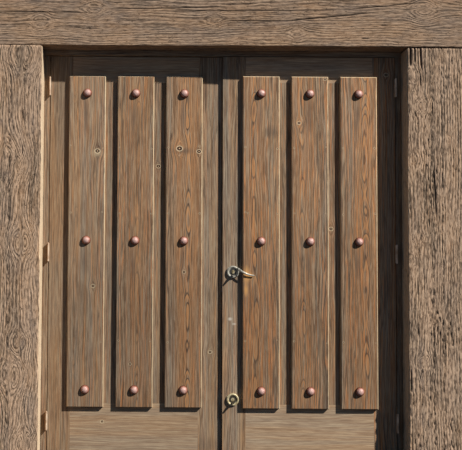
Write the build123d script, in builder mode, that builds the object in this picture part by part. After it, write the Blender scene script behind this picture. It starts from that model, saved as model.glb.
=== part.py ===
from build123d import *
import math
import os

os.makedirs("parts", exist_ok=True)

# A pair of framed, boarded and battened barn door leaves, hung in a hewn timber frame.
# Millimetres, +Z up, front towards -Y. The origin is on the floor, midway between the
# posts and midway through the lintel. Across a leaf, u runs from its hinge edge to its
# meeting edge, and d runs from its front face to its back face.

# Leaf layout from the hinge edge to the meeting edge
hinge_margin = 110
batten_width = 210
batten_gap = 69
meeting_margin = 114
batten_count = 3

# Leaf layout from the bottom edge to the top edge
bottom_margin = 248
batten_length = 1895
top_margin = 117

# Leaf thicknesses
leaf_thickness = 50
board_thickness = 22
batten_thickness = 24
batten_arris = 4
leaf_arris = 2

# Leaf frame and its boards
stile_lap = 20
board_lap = 18
board_gap = 3
bottom_rail_face = 270
top_rail_face = 150
middle_rail_height = 150
rail_cover = 60
tenon_thickness = 14
tenon_length = 44
tenon_shoulder = 35
tenon_end_gap = 1

# Dome-headed nails
nail_head_radius = 26
nail_head_height = 23
nail_shank = 3
nail_bite = 20
nail_point = 8
nail_end_distance = 100
nail_rows = 3

# Gaps round the leaves
floor_gap = 10
top_gap = 4
hinge_gap = 3
meeting_gap = 2.2
meeting_bevel = 2.4
stop_gap = 1

# Frame timbers
post_width = 330
post_depth = 252
lintel_depth = 260
lintel_height = 300
right_leaf_recess = 130
left_leaf_recess = 150
lining_thickness = 32
head_thickness = 29
stop_lap = 15
post_tenon_width = 190
post_tenon_depth = 60
post_tenon_height = 130
peg_radius = 12
peg_spacing = 90
peg_length = 190
fit = 0.1
overlap = 1

# Axe work along the timbers' front edges
wave_depth = 6
wave_pitch = 210
least_waves = 4
slow_swing = 0.6
slow_pace = 2.1
quick_swing = 0.35
quick_pace = 4.7
wane_depth = 62
post_face_phase = {-1: -1.3, 1: 1.3}
post_edge_phase = {-1: 1.6, 1: 3.6}
lintel_face_phase = 0.4
lintel_edge_phase = 1.9
bite_height = 1985
bite_radius = 34
bite_depth = 11

# Projecting butt hinges
hinge_height = 102
flap_thickness = 3
flap_seat = 32
hinge_stand_off = 20
knuckle_radius = 4.8
knuckle_count = 5
pin_radius = 2.4
pin_clearance = 0.05
pin_head_radius = 3.8
pin_head_height = 3
running_gap = 0.3
turning_gap = 0.6
bottom_hinge_height = 180
top_hinge_drop = 176
hinge_count = 3

# Countersunk hinge screws
screw_head_radius = 4.4
screw_radius = 2
screw_length = 26
screw_head_depth = 2.6
screw_point = 6
screw_head_fit = 0.2
screw_rows = (-36, 0, 36)
screw_near = 9
screw_far = 23

# Locks in the right leaf
backset = 60
lever_height = 1030
lock_height = 307
bolt_throw = 20
bolt_thickness = 10
bolt_height = 30
bolt_length = 60
bolt_drop = 58
bolt_recess = 0.5
bolt_nose = 2
strike_fit = 1
case_depth = 85
case_height = 140
case_thickness = 16
case_top = 45
forend_thickness = 3
forend_width = 22
forend_height = 180
strike_height = 90

# Lever, roses and turns
rose_radius = 34
rose_thickness = 3
ring_radius = 35
ring_inner_radius = 25
ring_height = 13
ring_round = 4
floor_height = 8
neck_radius = 9.7
neck_length = 12
plug_radius = 9.8
plug_height = 9.5
plug_socket = 3.5
bow_width = 7
bow_height = 19
bow_rise = 4
key_slot = 2.2
key_slot_height = 9.5
spindle_width = 8
tail_width = 6
lip_width = 22
lip_tip_width = 11
lip_thickness = 4.5
lip_reach = 34
lip_drop = 19
lip_curve = 5
lip_block = 40
arm_start_width = 15
arm_start_thickness = 7
arm_tip_width = 8
arm_tip_thickness = 5
arm_clearance = 7
# The arm's course: out from the lock's middle, back from its run over the batten, and up
arm_course = (
    (24, 25.5, 21), (34, 16.5, 13), (46, 3, 4), (66, -1, -7), (90, 0, -16), (115, 1, -20),
)
inside_hub_radius = 15
inside_hub_depth = 16
inside_arm_length = 112
inside_arm_arris = 1.5
thumb_length = 42
thumb_width = 8
thumb_depth = 20

# Shoot bolts on the back of the left leaf
shoot_inset = 60
shoot_radius = 7
shoot_stand_off = 1
shoot_length = 230
shoot_tip_gap = 4
shoot_throw = 40
drop_throw = 33
drop_floor_gap = 3
guide_plate_width = 36
guide_plate_height = 200
guide_plate_thickness = 3
guide_loop_height = 20
guide_loop_width = 24
guide_end = 14
knob_radius = 9
knob_neck = 4
knob_reach = 16

# Sizes that follow from the ones above
batten_pitch = batten_width + batten_gap
leaf_width = (hinge_margin + batten_count * batten_width
              + (batten_count - 1) * batten_gap + meeting_margin)
leaf_height = bottom_margin + batten_length + top_margin
leaf_bottom = floor_gap
leaf_top = leaf_bottom + leaf_height
hinge_edge = meeting_gap / 2 + leaf_width
hinge_axis = hinge_edge + hinge_gap / 2
jamb_face = hinge_edge + hinge_gap
half_opening = jamb_face + lining_thickness
frame_half_width = half_opening + post_width
head_underside = leaf_top + top_gap
post_height = head_underside + head_thickness
stop_underside = head_underside - stop_lap
frame_back = post_depth / 2
hinge_stile_width = hinge_margin + stile_lap
meeting_stile_width = meeting_margin + stile_lap
batten_bottom = leaf_bottom + bottom_margin
batten_top = batten_bottom + batten_length
boards_bottom = leaf_bottom + bottom_rail_face
boards_top = leaf_top - top_rail_face
front = {-1: left_leaf_recess - lintel_depth / 2, 1: right_leaf_recess - lintel_depth / 2}
bolt_plane = (front[-1] + front[1] + leaf_thickness) / 2
lock_x = meeting_gap / 2 + backset
side_names = {-1: "left", 1: "right"}

nail_heights = [
    batten_bottom + nail_end_distance
    + row * (batten_length - 2 * nail_end_distance) / (nail_rows - 1)
    for row in range(nail_rows)
]
hinge_heights = [
    bottom_hinge_height
    + row * (leaf_top - top_hinge_drop - bottom_hinge_height) / (hinge_count - 1)
    for row in range(hinge_count)
]
hinge_names = ("bottom", "middle", "top")


def save(piece, name):
    """Label a finished piece and write it to its own file."""
    piece.label = name
    export_step(piece, f"parts/{name}.step")


def across(side, u):
    """The X of a point u in from the hinge edge of the leaf on that side."""
    return side * (hinge_edge - u)


def batten_centre(number):
    """The u of the middle of a batten, counted from the hinge edge."""
    return hinge_margin + batten_width / 2 + number * batten_pitch


def slab(x0, x1, y0, y1, z0, z1, mode=Mode.ADD):
    """A straight-sided timber, plate or cut between two corners."""
    with Locations(((x0 + x1) / 2, (y0 + y1) / 2, (z0 + z1) / 2)):
        Box(abs(x1 - x0), abs(y1 - y0), abs(z1 - z0), mode=mode)


def leaf_slab(side, u0, u1, d0, d1, z0, z1, mode=Mode.ADD):
    """The same in a leaf's own u and d."""
    slab(across(side, u0), across(side, u1), front[side] + d0, front[side] + d1, z0, z1, mode)


def rod(x, z, y0, y1, radius, mode=Mode.ADD):
    """A round bar or bore from front to back."""
    with Locations((x, (y0 + y1) / 2, z)):
        Cylinder(radius, abs(y1 - y0), rotation=(90, 0, 0), mode=mode)


def upright(x, y, z0, z1, radius, mode=Mode.ADD):
    """A round bar or bore that stands upright."""
    with Locations((x, y, (z0 + z1) / 2)):
        Cylinder(radius, abs(z1 - z0), mode=mode)


def nail_places(side):
    """Where the nails enter the front of a leaf's battens."""
    y = front[side] - batten_thickness
    return [
        (across(side, batten_centre(number)), y, z)
        for number in range(batten_count)
        for z in nail_heights
    ]


def drill_nails(side):
    """The holes that the nails' shanks leave in what they pass through."""
    depth = batten_thickness + board_thickness + nail_bite + fit
    for x, y, z in nail_places(side):
        rod(x, z, y - fit, y + depth, nail_shank + fit, Mode.SUBTRACT)


def axe_line(length, phase):
    """Points along an axe-worked edge: how far along, and how deep the axe went."""
    spans = max(least_waves, round(length / wave_pitch))
    swings = [
        slow_swing * math.sin(slow_pace * step + phase)
        + quick_swing * math.sin(quick_pace * step + 2 * phase)
        for step in range(spans + 1)
    ]
    lowest, highest = min(swings), max(swings)
    return [
        (length * step / spans, wave_depth * (swing - lowest) / (highest - lowest))
        for step, swing in enumerate(swings)
    ]


def shaving(corner, along, inward, length, phase):
    """The flat outline of what the axe took off an edge, from its corner and two directions."""
    points = axe_line(length, phase)
    plane = Plane(origin=corner, x_dir=along, z_dir=Vector(along).cross(Vector(inward)))
    with BuildSketch(plane) as outline:
        with BuildLine():
            Spline(*points)
            Polyline(points[-1], (length, -wave_depth), (0, -wave_depth), points[0])
        make_face()
    return outline.sketch


# Fasteners used in several places

with BuildPart() as hinge_screw:
    with BuildSketch(Plane.XY):
        with BuildLine():
            Polyline((0, 0), (0, screw_head_radius), (screw_head_depth, screw_radius),
                     (screw_length - screw_point, screw_radius), (screw_length, 0), (0, 0))
        make_face()
    revolve(axis=Axis.X)

with BuildPart() as screw_hole:
    with BuildSketch(Plane.XY):
        with BuildLine():
            Polyline((-fit, 0), (-fit, screw_head_radius + screw_head_fit),
                     (screw_head_depth, screw_radius + fit),
                     (screw_length + fit, screw_radius + fit), (screw_length + fit, 0),
                     (-fit, 0))
        make_face()
    revolve(axis=Axis.X)


def screw_locations(side, into_frame):
    """Three screws a flap, staggered, pointing into the jamb or into the stile."""
    x = side * (jamb_face if into_frame else hinge_edge)
    turn = 0 if (side > 0) == into_frame else 180
    places = []
    for centre in hinge_heights:
        for number, rise in enumerate(screw_rows):
            depth = screw_far if number % 2 else screw_near
            places.append(Location((x, front[side] + depth, centre + rise), (0, 0, turn)))
    return places


def flap_recesses(side, x_outer):
    """Cut the shallow recesses that the hinge flaps lie in."""
    x_inner = x_outer + (flap_thickness if abs(x_outer) > hinge_axis else -flap_thickness) * side
    for centre in hinge_heights:
        slab(x_outer, x_inner, front[side], front[side] + flap_seat,
             centre - hinge_height / 2, centre + hinge_height / 2, Mode.SUBTRACT)


# Frame timbers

def post(side):
    """A hewn post: planed where the lining seats, axe-worked on its front edges."""
    inner = side * half_opening
    outer = side * frame_half_width
    tenon_middle = (inner + outer) / 2
    with BuildPart() as timber:
        slab(inner, outer, -frame_back, frame_back, 0, post_height)
        face_cut = shaving((max(inner, outer), -frame_back, 0), (0, 0, 1), (0, 1, 0),
                           post_height, post_face_phase[side])
        extrude(face_cut, amount=post_width, mode=Mode.SUBTRACT)
        edge_cut = shaving((inner, -frame_back, 0), (0, 0, 1), (side, 0, 0),
                           post_height, post_edge_phase[side])
        extrude(edge_cut, amount=side * wane_depth, mode=Mode.SUBTRACT)
        if side > 0:
            rod(inner - bite_radius + bite_depth, bite_height, -frame_back,
                wane_depth - frame_back, bite_radius, Mode.SUBTRACT)
        slab(tenon_middle - post_tenon_width / 2, tenon_middle + post_tenon_width / 2,
             -post_tenon_depth / 2, post_tenon_depth / 2,
             post_height, post_height + post_tenon_height)
        for offset in (-peg_spacing / 2, peg_spacing / 2):
            rod(tenon_middle + offset, post_height + post_tenon_height / 2,
                -post_tenon_depth, post_tenon_depth, peg_radius + fit, Mode.SUBTRACT)
    return timber.part


for side, name in side_names.items():
    save(post(side), f"{name}_post")

peg_xs = [
    side * (half_opening + post_width / 2) + offset
    for side in side_names
    for offset in (-peg_spacing / 2, peg_spacing / 2)
]
peg_z = post_height + post_tenon_height / 2

with BuildPart() as lintel_beam:
    slab(-frame_half_width, frame_half_width, -lintel_depth / 2, lintel_depth / 2,
         post_height, post_height + lintel_height)
    front_corner = (-frame_half_width, -lintel_depth / 2, post_height)
    front_cut = shaving(front_corner, (1, 0, 0), (0, 1, 0), 2 * frame_half_width,
                        lintel_face_phase)
    extrude(front_cut, amount=lintel_height, mode=Mode.SUBTRACT)
    edge_cut = shaving(front_corner, (1, 0, 0), (0, 0, 1), 2 * frame_half_width,
                       lintel_edge_phase)
    extrude(edge_cut, amount=-wane_depth, mode=Mode.SUBTRACT)
    for side in side_names:
        middle = side * (half_opening + post_width / 2)
        slab(middle - post_tenon_width / 2 - fit, middle + post_tenon_width / 2 + fit,
             -post_tenon_depth / 2 - fit, post_tenon_depth / 2 + fit,
             post_height, post_height + post_tenon_height + tenon_end_gap, Mode.SUBTRACT)
    for x in peg_xs:
        rod(x, peg_z, lintel_depth / 2 - peg_length, lintel_depth / 2, peg_radius + fit,
            Mode.SUBTRACT)
save(lintel_beam.part, "lintel_beam")

with BuildPart() as frame_pegs:
    for x in peg_xs:
        rod(x, peg_z, lintel_depth / 2 - peg_length + tenon_end_gap, lintel_depth / 2, peg_radius)
save(frame_pegs.part, "frame_pegs")


def jamb(side):
    """A side lining with its stop worked in the solid behind the leaf's back edge."""
    stop_front = front[side] + leaf_thickness + stop_gap
    with BuildPart() as lining:
        slab(side * jamb_face, side * half_opening, front[side], frame_back, 0, head_underside)
        slab(side * (jamb_face - stop_lap), side * jamb_face, stop_front, frame_back,
             0, head_underside)
        flap_recesses(side, side * jamb_face)
        with Locations(*screw_locations(side, True)):
            add(screw_hole.part, mode=Mode.SUBTRACT)
    return lining.part


for side, name in side_names.items():
    save(jamb(side), f"{name}_jamb")

shoot_x = -(meeting_gap / 2 + shoot_inset)
leaf_back = front[-1] + leaf_thickness
shoot_y = leaf_back + guide_plate_thickness + shoot_radius + shoot_stand_off

with BuildPart() as head_jamb:
    slab(-half_opening, half_opening, front[1], frame_back, head_underside, post_height)
    for side in side_names:
        slab(0, side * (jamb_face - stop_lap), front[side] + leaf_thickness + stop_gap,
             frame_back, stop_underside, head_underside)
    upright(shoot_x, shoot_y, stop_underside, stop_underside + shoot_throw,
            shoot_radius + turning_gap, Mode.SUBTRACT)
save(head_jamb.part, "head_jamb")


# Leaf frame

rail_ends = (hinge_stile_width + board_lap, leaf_width - meeting_stile_width - board_lap)
rail_spans = {
    "bottom_rail": (leaf_bottom, nail_heights[0] + rail_cover),
    "middle_rail": (nail_heights[1] - middle_rail_height / 2,
                    nail_heights[1] + middle_rail_height / 2),
    "top_rail": (nail_heights[-1] - rail_cover, leaf_top),
}
tenon_middle_depth = (board_thickness + leaf_thickness) / 2


def tenon(side, name, u0, u1, clearance, mode):
    """A rail's tenon, or the mortise for it, at one end of the rail."""
    low, high = rail_spans[name]
    half = tenon_thickness / 2 + clearance
    leaf_slab(side, u0, u1, tenon_middle_depth - half, tenon_middle_depth + half,
              low + tenon_shoulder - clearance, high - tenon_shoulder + clearance, mode)


def stile(side, u_edge, u_face, u_lap):
    """An upright of the leaf frame, rebated for the boards and mortised for the rails."""
    inward = 1 if u_lap > u_edge else -1
    with BuildPart() as upright_timber:
        leaf_slab(side, u_edge, u_face, 0, board_thickness, leaf_bottom, leaf_top)
        leaf_slab(side, u_edge, u_lap, board_thickness, leaf_thickness, leaf_bottom, leaf_top)
        outer_edges = (upright_timber.edges().filter_by(Axis.Z)
                       .filter_by_position(Axis.X, across(side, u_edge) - fit,
                                           across(side, u_edge) + fit))
        chamfer(outer_edges, leaf_arris)
        for name in rail_spans:
            tenon(side, name, u_lap, u_lap - inward * (tenon_length + tenon_end_gap), fit,
                  Mode.SUBTRACT)
    return upright_timber.part


def rail(side, name):
    """A crosswise timber, tenoned at both ends, with its front cut back for the boards."""
    low, high = rail_spans[name]
    with BuildPart() as crosspiece:
        leaf_slab(side, *rail_ends, board_thickness, leaf_thickness, low, high)
        tenon(side, name, rail_ends[0] - tenon_length, rail_ends[0], 0, Mode.ADD)
        tenon(side, name, rail_ends[1], rail_ends[1] + tenon_length, 0, Mode.ADD)
        if name == "bottom_rail":
            leaf_slab(side, hinge_stile_width, leaf_width - meeting_stile_width,
                      0, board_thickness, leaf_bottom, boards_bottom)
        if name == "top_rail":
            leaf_slab(side, hinge_stile_width, leaf_width - meeting_stile_width,
                      0, board_thickness, boards_top, leaf_top)
        drill_nails(side)
    return crosspiece.part


def boards(side):
    """The boards between the stiles, parted under the middle of each batten."""
    seams = [batten_centre(number) for number in range(batten_count)]
    starts = [hinge_stile_width] + [seam + board_gap / 2 for seam in seams]
    ends = [seam - board_gap / 2 for seam in seams] + [leaf_width - meeting_stile_width]
    with BuildPart() as boarding:
        for u0, u1 in zip(starts, ends):
            leaf_slab(side, u0, u1, 0, board_thickness, boards_bottom, boards_top)
        drill_nails(side)
    return boarding.part


def batten(side, number):
    """A raised upright strip over a seam, with its front edges eased."""
    u0 = hinge_margin + number * batten_pitch
    with BuildPart() as strip:
        leaf_slab(side, u0, u0 + batten_width, -batten_thickness, 0, batten_bottom, batten_top)
        chamfer(strip.faces().sort_by(Axis.Y)[0].edges(), batten_arris)
        drill_nails(side)
    return strip.part


with BuildPart() as domed_nail:
    shank_length = batten_thickness + board_thickness + nail_bite
    with BuildSketch(Plane.XY):
        with BuildLine():
            EllipticalCenterArc((0, 0), nail_head_radius, nail_head_height, -90, arc_size=90)
            Polyline((nail_head_radius, 0), (nail_shank, 0),
                     (nail_shank, shank_length - nail_point), (0, shank_length),
                     (0, -nail_head_height))
        make_face()
    revolve(axis=Axis.Y)


def nails(side):
    """All of a leaf's nails."""
    with BuildPart() as fasteners:
        with Locations(*nail_places(side)):
            add(domed_nail.part)
    return fasteners.part


def hinge_stile(side):
    """The hanging stile, with the hinge flaps' recesses and screw holes."""
    with BuildPart() as hanging:
        add(stile(side, 0, hinge_stile_width, hinge_stile_width + board_lap))
        flap_recesses(side, side * hinge_edge)
        with Locations(*screw_locations(side, False)):
            add(screw_hole.part, mode=Mode.SUBTRACT)
    return hanging.part


for side, name in side_names.items():
    save(hinge_stile(side), f"{name}_hinge_stile")
    for rail_name in rail_spans:
        save(rail(side, rail_name), f"{name}_{rail_name}")
    save(boards(side), f"{name}_boards")
    for number in range(batten_count):
        save(batten(side, number), f"{name}_batten_{number + 1}")
    save(nails(side), f"{name}_nails")


# Meeting stiles, with the locks on the right and their strikes on the left

lock_heights = {"upper": lever_height, "lower": lock_height}
meeting_edge = meeting_gap / 2
strike_face = -meeting_edge - meeting_bevel / 2
strike_back = strike_face - forend_thickness


def meeting_stile(side):
    """The upright at the meeting edge, still without its lock work."""
    return stile(side, leaf_width, leaf_width - meeting_stile_width,
                 leaf_width - meeting_stile_width - board_lap)


with BuildPart() as right_meeting_stile:
    add(meeting_stile(1))
    for height in lock_heights.values():
        slab(meeting_edge, meeting_edge + case_depth,
             bolt_plane - case_thickness / 2, bolt_plane + case_thickness / 2,
             height + case_top - case_height, height + case_top, Mode.SUBTRACT)
        slab(meeting_edge, meeting_edge + forend_thickness,
             bolt_plane - forend_width / 2, bolt_plane + forend_width / 2,
             height + case_top - (case_height + forend_height) / 2,
             height + case_top - (case_height - forend_height) / 2, Mode.SUBTRACT)
        rod(lock_x, height, front[1], front[1] + leaf_thickness,
            plug_radius + turning_gap, Mode.SUBTRACT)
save(right_meeting_stile.part, "right_meeting_stile")

# The left leaf's meeting edge is planed back behind its front, so that both leaves swing
# clear of each other across a fine gap.
with BuildPart() as left_meeting_stile:
    add(meeting_stile(-1))
    with BuildSketch(Plane.XY.offset(leaf_bottom)):
        with BuildLine():
            Polyline((-meeting_edge, front[-1]), (-meeting_edge - meeting_bevel, leaf_back),
                     (0, leaf_back), (0, front[-1]), (-meeting_edge, front[-1]))
        make_face()
    extrude(amount=leaf_height, mode=Mode.SUBTRACT)
    for height in lock_heights.values():
        bolt_z = height - bolt_drop
        slab(0, strike_back, bolt_plane - forend_width / 2, bolt_plane + forend_width / 2,
             bolt_z - strike_height / 2, bolt_z + strike_height / 2, Mode.SUBTRACT)
        slab(0, meeting_edge - bolt_throw - strike_fit,
             bolt_plane - bolt_thickness / 2 - strike_fit,
             bolt_plane + bolt_thickness / 2 + strike_fit,
             bolt_z - bolt_height / 2 - strike_fit,
             bolt_z + bolt_height / 2 + strike_fit, Mode.SUBTRACT)
save(left_meeting_stile.part, "left_meeting_stile")

with BuildPart() as strike_plates:
    for height in lock_heights.values():
        bolt_z = height - bolt_drop
        slab(strike_face, strike_back, bolt_plane - forend_width / 2,
             bolt_plane + forend_width / 2, bolt_z - strike_height / 2,
             bolt_z + strike_height / 2)
        slab(strike_face, strike_back,
             bolt_plane - bolt_thickness / 2 - strike_fit,
             bolt_plane + bolt_thickness / 2 + strike_fit,
             bolt_z - bolt_height / 2 - strike_fit,
             bolt_z + bolt_height / 2 + strike_fit, Mode.SUBTRACT)
save(strike_plates.part, "strike_plates")


def lock_case(height, hub_hole):
    """A mortise lock's case with its face plate, bored for what turns in it."""
    middle = height + case_top - case_height / 2
    bolt_z = height - bolt_drop
    half_thickness = bolt_thickness / 2 + running_gap
    half_height = bolt_height / 2 + running_gap
    with BuildPart() as case:
        slab(meeting_edge, meeting_edge + case_depth,
             bolt_plane - case_thickness / 2, bolt_plane + case_thickness / 2,
             middle - case_height / 2, middle + case_height / 2)
        slab(meeting_edge, meeting_edge + forend_thickness,
             bolt_plane - forend_width / 2, bolt_plane + forend_width / 2,
             middle - forend_height / 2, middle + forend_height / 2)
        slab(meeting_edge, meeting_edge + bolt_recess + bolt_length + running_gap,
             bolt_plane - half_thickness, bolt_plane + half_thickness,
             bolt_z - half_height, bolt_z + half_height, Mode.SUBTRACT)
        rod(lock_x, height, bolt_plane - case_thickness, bolt_plane + case_thickness,
            hub_hole, Mode.SUBTRACT)
    return case.part


def lock_bolt(height):
    """A bolt, drawn back to just inside the face plate."""
    tip = meeting_edge + bolt_recess
    bolt_z = height - bolt_drop
    with BuildPart() as bar:
        slab(tip, tip + bolt_length, bolt_plane - bolt_thickness / 2,
             bolt_plane + bolt_thickness / 2, bolt_z - bolt_height / 2, bolt_z + bolt_height / 2)
        chamfer(bar.faces().sort_by(Axis.X)[0].edges(), bolt_nose)
    return bar.part


spindle_hole = spindle_width / math.sqrt(2) + running_gap
tail_hole = tail_width / math.sqrt(2) + running_gap
save(lock_case(lever_height, spindle_hole), "upper_lock_case")
save(lock_case(lock_height, tail_hole), "lower_lock_case")
save(lock_bolt(lever_height), "upper_bolt")
save(lock_bolt(lock_height), "lower_bolt")


# Lever, roses, plugs and turns

def turning_plane(height):
    """A half plane through a lock's middle line: local X outwards, local Y to the back."""
    return Plane(origin=(lock_x, front[1], height), x_dir=(1, 0, 0), z_dir=(0, 0, 1))


def lock_axis(height):
    """The line that a lock's turning pieces turn about."""
    return Axis((lock_x, front[1], height), (0, 1, 0))


def ring_profile(back):
    """Half section of a dished ring whose floor carries the plug."""
    with BuildSketch(Plane.XY) as section:
        with BuildLine():
            Polyline((0, back), (ring_radius, back), (ring_radius, ring_round - ring_height))
            RadiusArc((ring_radius, ring_round - ring_height),
                      (ring_radius - ring_round, -ring_height), -ring_round)
            Polyline((ring_radius - ring_round, -ring_height),
                     (ring_inner_radius + ring_round / 2, -ring_height),
                     (ring_inner_radius, ring_round / 2 - ring_height),
                     (ring_inner_radius - ring_round / 2, -floor_height),
                     (0, -floor_height), (0, back))
        make_face()
    return section.sketch


def finger_lip(height):
    """The tongue that a hand pulls by: an arc in side view, tapering in plan."""
    root = front[1] - floor_height + overlap
    tip = front[1] - floor_height - lip_reach
    low = height - lip_drop
    with BuildPart() as tongue:
        with BuildSketch(Plane(origin=(lock_x - lip_width, 0, 0), x_dir=(0, 1, 0),
                               z_dir=(1, 0, 0))):
            with BuildLine():
                ThreePointArc((root, low), ((root + tip) / 2, low + lip_curve / 2),
                              (tip, low - lip_curve))
                Line((tip, low - lip_curve), (tip, low - lip_curve - lip_thickness / 2))
                ThreePointArc((tip, low - lip_curve - lip_thickness / 2),
                              ((root + tip) / 2, low + lip_curve / 2 - lip_thickness),
                              (root, low - lip_thickness))
                Line((root, low - lip_thickness), (root, low))
            make_face()
        extrude(amount=2 * lip_width)
        with BuildSketch(Plane.XY.offset(low - lip_block / 2)):
            with BuildLine():
                half_tip = lip_tip_width / 2
                Polyline((lock_x - half_tip, tip + half_tip), (lock_x - lip_width / 2, root),
                         (lock_x + lip_width / 2, root), (lock_x + half_tip, tip + half_tip))
                ThreePointArc((lock_x + half_tip, tip + half_tip), (lock_x, tip),
                              (lock_x - half_tip, tip + half_tip))
            make_face()
        extrude(amount=lip_block, mode=Mode.INTERSECT)
    return tongue.part


# The arm leaves the ring at its upper right and flows down over the nearest batten.
arm_run = front[1] - batten_thickness - arm_clearance - arm_start_thickness / 2
arm_points = [
    (lock_x + reach, arm_run + set_back, lever_height + rise)
    for reach, set_back, rise in arm_course
]

with BuildPart() as outer_lever:
    hub_section = ring_profile(-rose_thickness - running_gap)
    revolve(turning_plane(lever_height).location * hub_section, axis=lock_axis(lever_height))
    rod(lock_x, lever_height, front[1] - rose_thickness - overlap, front[1] + neck_length,
        neck_radius)
    rod(lock_x, lever_height, front[1] - floor_height - overlap,
        front[1] - floor_height + plug_socket, plug_radius + running_gap, Mode.SUBTRACT)
    slab(lock_x - spindle_width / 2, lock_x + spindle_width / 2, front[1] - overlap,
         front[1] + neck_length, lever_height - spindle_width / 2,
         lever_height + spindle_width / 2, Mode.SUBTRACT)
    add(finger_lip(lever_height))
    with BuildLine() as arm_path:
        Spline(*arm_points)
    with BuildSketch(Plane(arm_path.line @ 0, x_dir=(0, -1, 0), z_dir=arm_path.line % 0)) as root:
        Ellipse(arm_start_thickness / 2, arm_start_width / 2)
    with BuildSketch(Plane(arm_path.line @ 1, x_dir=(0, -1, 0), z_dir=arm_path.line % 1)) as end:
        Ellipse(arm_tip_thickness / 2, arm_tip_width / 2)
    sweep([root.sketch, end.sketch], path=arm_path.line, multisection=True)
    with Locations(arm_path.line @ 1):
        Sphere(arm_tip_width / 2)
save(outer_lever.part, "outer_lever")


def rose(height, y0, radius):
    """A plain round plate with a bore for a neck."""
    with BuildPart() as plate:
        rod(lock_x, height, y0, y0 + rose_thickness, radius)
        edges_out = plate.faces().sort_by(Axis.Y)[0 if y0 < front[1] else -1].edges()
        chamfer(edges_out, rose_thickness / 2)
        rod(lock_x, height, y0 - rose_thickness, y0 + 2 * rose_thickness,
            plug_radius + turning_gap, Mode.SUBTRACT)
    return plate.part


save(rose(lever_height, front[1] - rose_thickness, rose_radius), "upper_rose")

with BuildPart() as inside_roses:
    for height in lock_heights.values():
        add(rose(height, front[1] + leaf_thickness, rose_radius))
save(inside_roses.part, "inside_roses")

with BuildPart() as lower_rose:
    revolve(turning_plane(lock_height).location * ring_profile(0), axis=lock_axis(lock_height))
    rod(lock_x, lock_height, front[1] - ring_height, front[1] + fit, plug_radius + running_gap,
        Mode.SUBTRACT)
    add(finger_lip(lock_height))
save(lower_rose.part, "lower_rose")

with BuildPart() as upper_plug:
    rod(lock_x, lever_height, front[1] - plug_height, front[1] - floor_height + plug_socket,
        plug_radius)
    slab(lock_x - bow_width / 2, lock_x + bow_width / 2, front[1] - plug_height - bow_rise,
         front[1] - plug_height, lever_height - bow_height / 2, lever_height + bow_height / 2)
    slab(lock_x - key_slot / 2, lock_x + key_slot / 2, front[1] - plug_height - bow_rise,
         front[1] - plug_height, lever_height - key_slot_height / 2,
         lever_height + key_slot_height / 2, Mode.SUBTRACT)
save(upper_plug.part, "upper_plug")

inside_face = front[1] + leaf_thickness + rose_thickness + running_gap

with BuildPart() as lower_plug:
    rod(lock_x, lock_height, front[1] - plug_height, front[1] + neck_length, plug_radius)
    slab(lock_x - tail_width / 2, lock_x + tail_width / 2, front[1] + neck_length,
         inside_face + inside_hub_depth / 2, lock_height - tail_width / 2,
         lock_height + tail_width / 2)
    slab(lock_x - key_slot / 2, lock_x + key_slot / 2, front[1] - plug_height,
         front[1] - plug_height + neck_length, lock_height - key_slot_height / 2,
         lock_height + key_slot_height / 2, Mode.SUBTRACT)
save(lower_plug.part, "lower_plug")

with BuildPart() as thumb_turn:
    rod(lock_x, lock_height, inside_face, inside_face + inside_hub_depth, inside_hub_radius)
    chamfer(thumb_turn.faces().sort_by(Axis.Y)[-1].edges(), rose_thickness)
    rod(lock_x, lock_height, inside_face - rose_thickness - neck_length / 2, inside_face,
        neck_radius)
    slab(lock_x - thumb_width / 2, lock_x + thumb_width / 2, inside_face + inside_hub_depth / 2,
         inside_face + inside_hub_depth + thumb_depth, lock_height - thumb_length / 2,
         lock_height + thumb_length / 2)
    fillet(thumb_turn.faces().sort_by(Axis.Y)[-1].edges().filter_by(Axis.X), thumb_width)
    slab(lock_x - tail_width / 2, lock_x + tail_width / 2, front[1] + leaf_thickness / 2,
         inside_face + inside_hub_depth / 2, lock_height - tail_width / 2,
         lock_height + tail_width / 2, Mode.SUBTRACT)
save(thumb_turn.part, "thumb_turn")

inside_arm_y = inside_face + inside_hub_depth - arm_start_thickness

with BuildPart() as inside_lever:
    rod(lock_x, lever_height, inside_face, inside_face + inside_hub_depth, inside_hub_radius)
    rod(lock_x, lever_height, inside_face - rose_thickness - neck_length / 2, inside_face,
        neck_radius)
    slab(lock_x - spindle_width / 2, lock_x + spindle_width / 2, front[1] - overlap, inside_face,
         lever_height - spindle_width / 2, lever_height + spindle_width / 2)
    with BuildSketch(Plane(origin=(lock_x, inside_arm_y, lever_height), x_dir=(1, 0, 0),
                           z_dir=(0, 1, 0))):
        with BuildLine():
            half_root = arm_start_width / 2
            half_end = arm_tip_width / 2
            Polyline((inside_arm_length, half_end), (0, half_root), (0, -half_root),
                     (inside_arm_length, -half_end))
            ThreePointArc((inside_arm_length, -half_end),
                          (inside_arm_length + half_end, 0), (inside_arm_length, half_end))
        make_face()
    extrude(amount=arm_start_thickness)
    chamfer(inside_lever.faces().sort_by(Axis.Y)[-1].edges(), inside_arm_arris)
save(inside_lever.part, "inside_lever")


# Hinges

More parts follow.
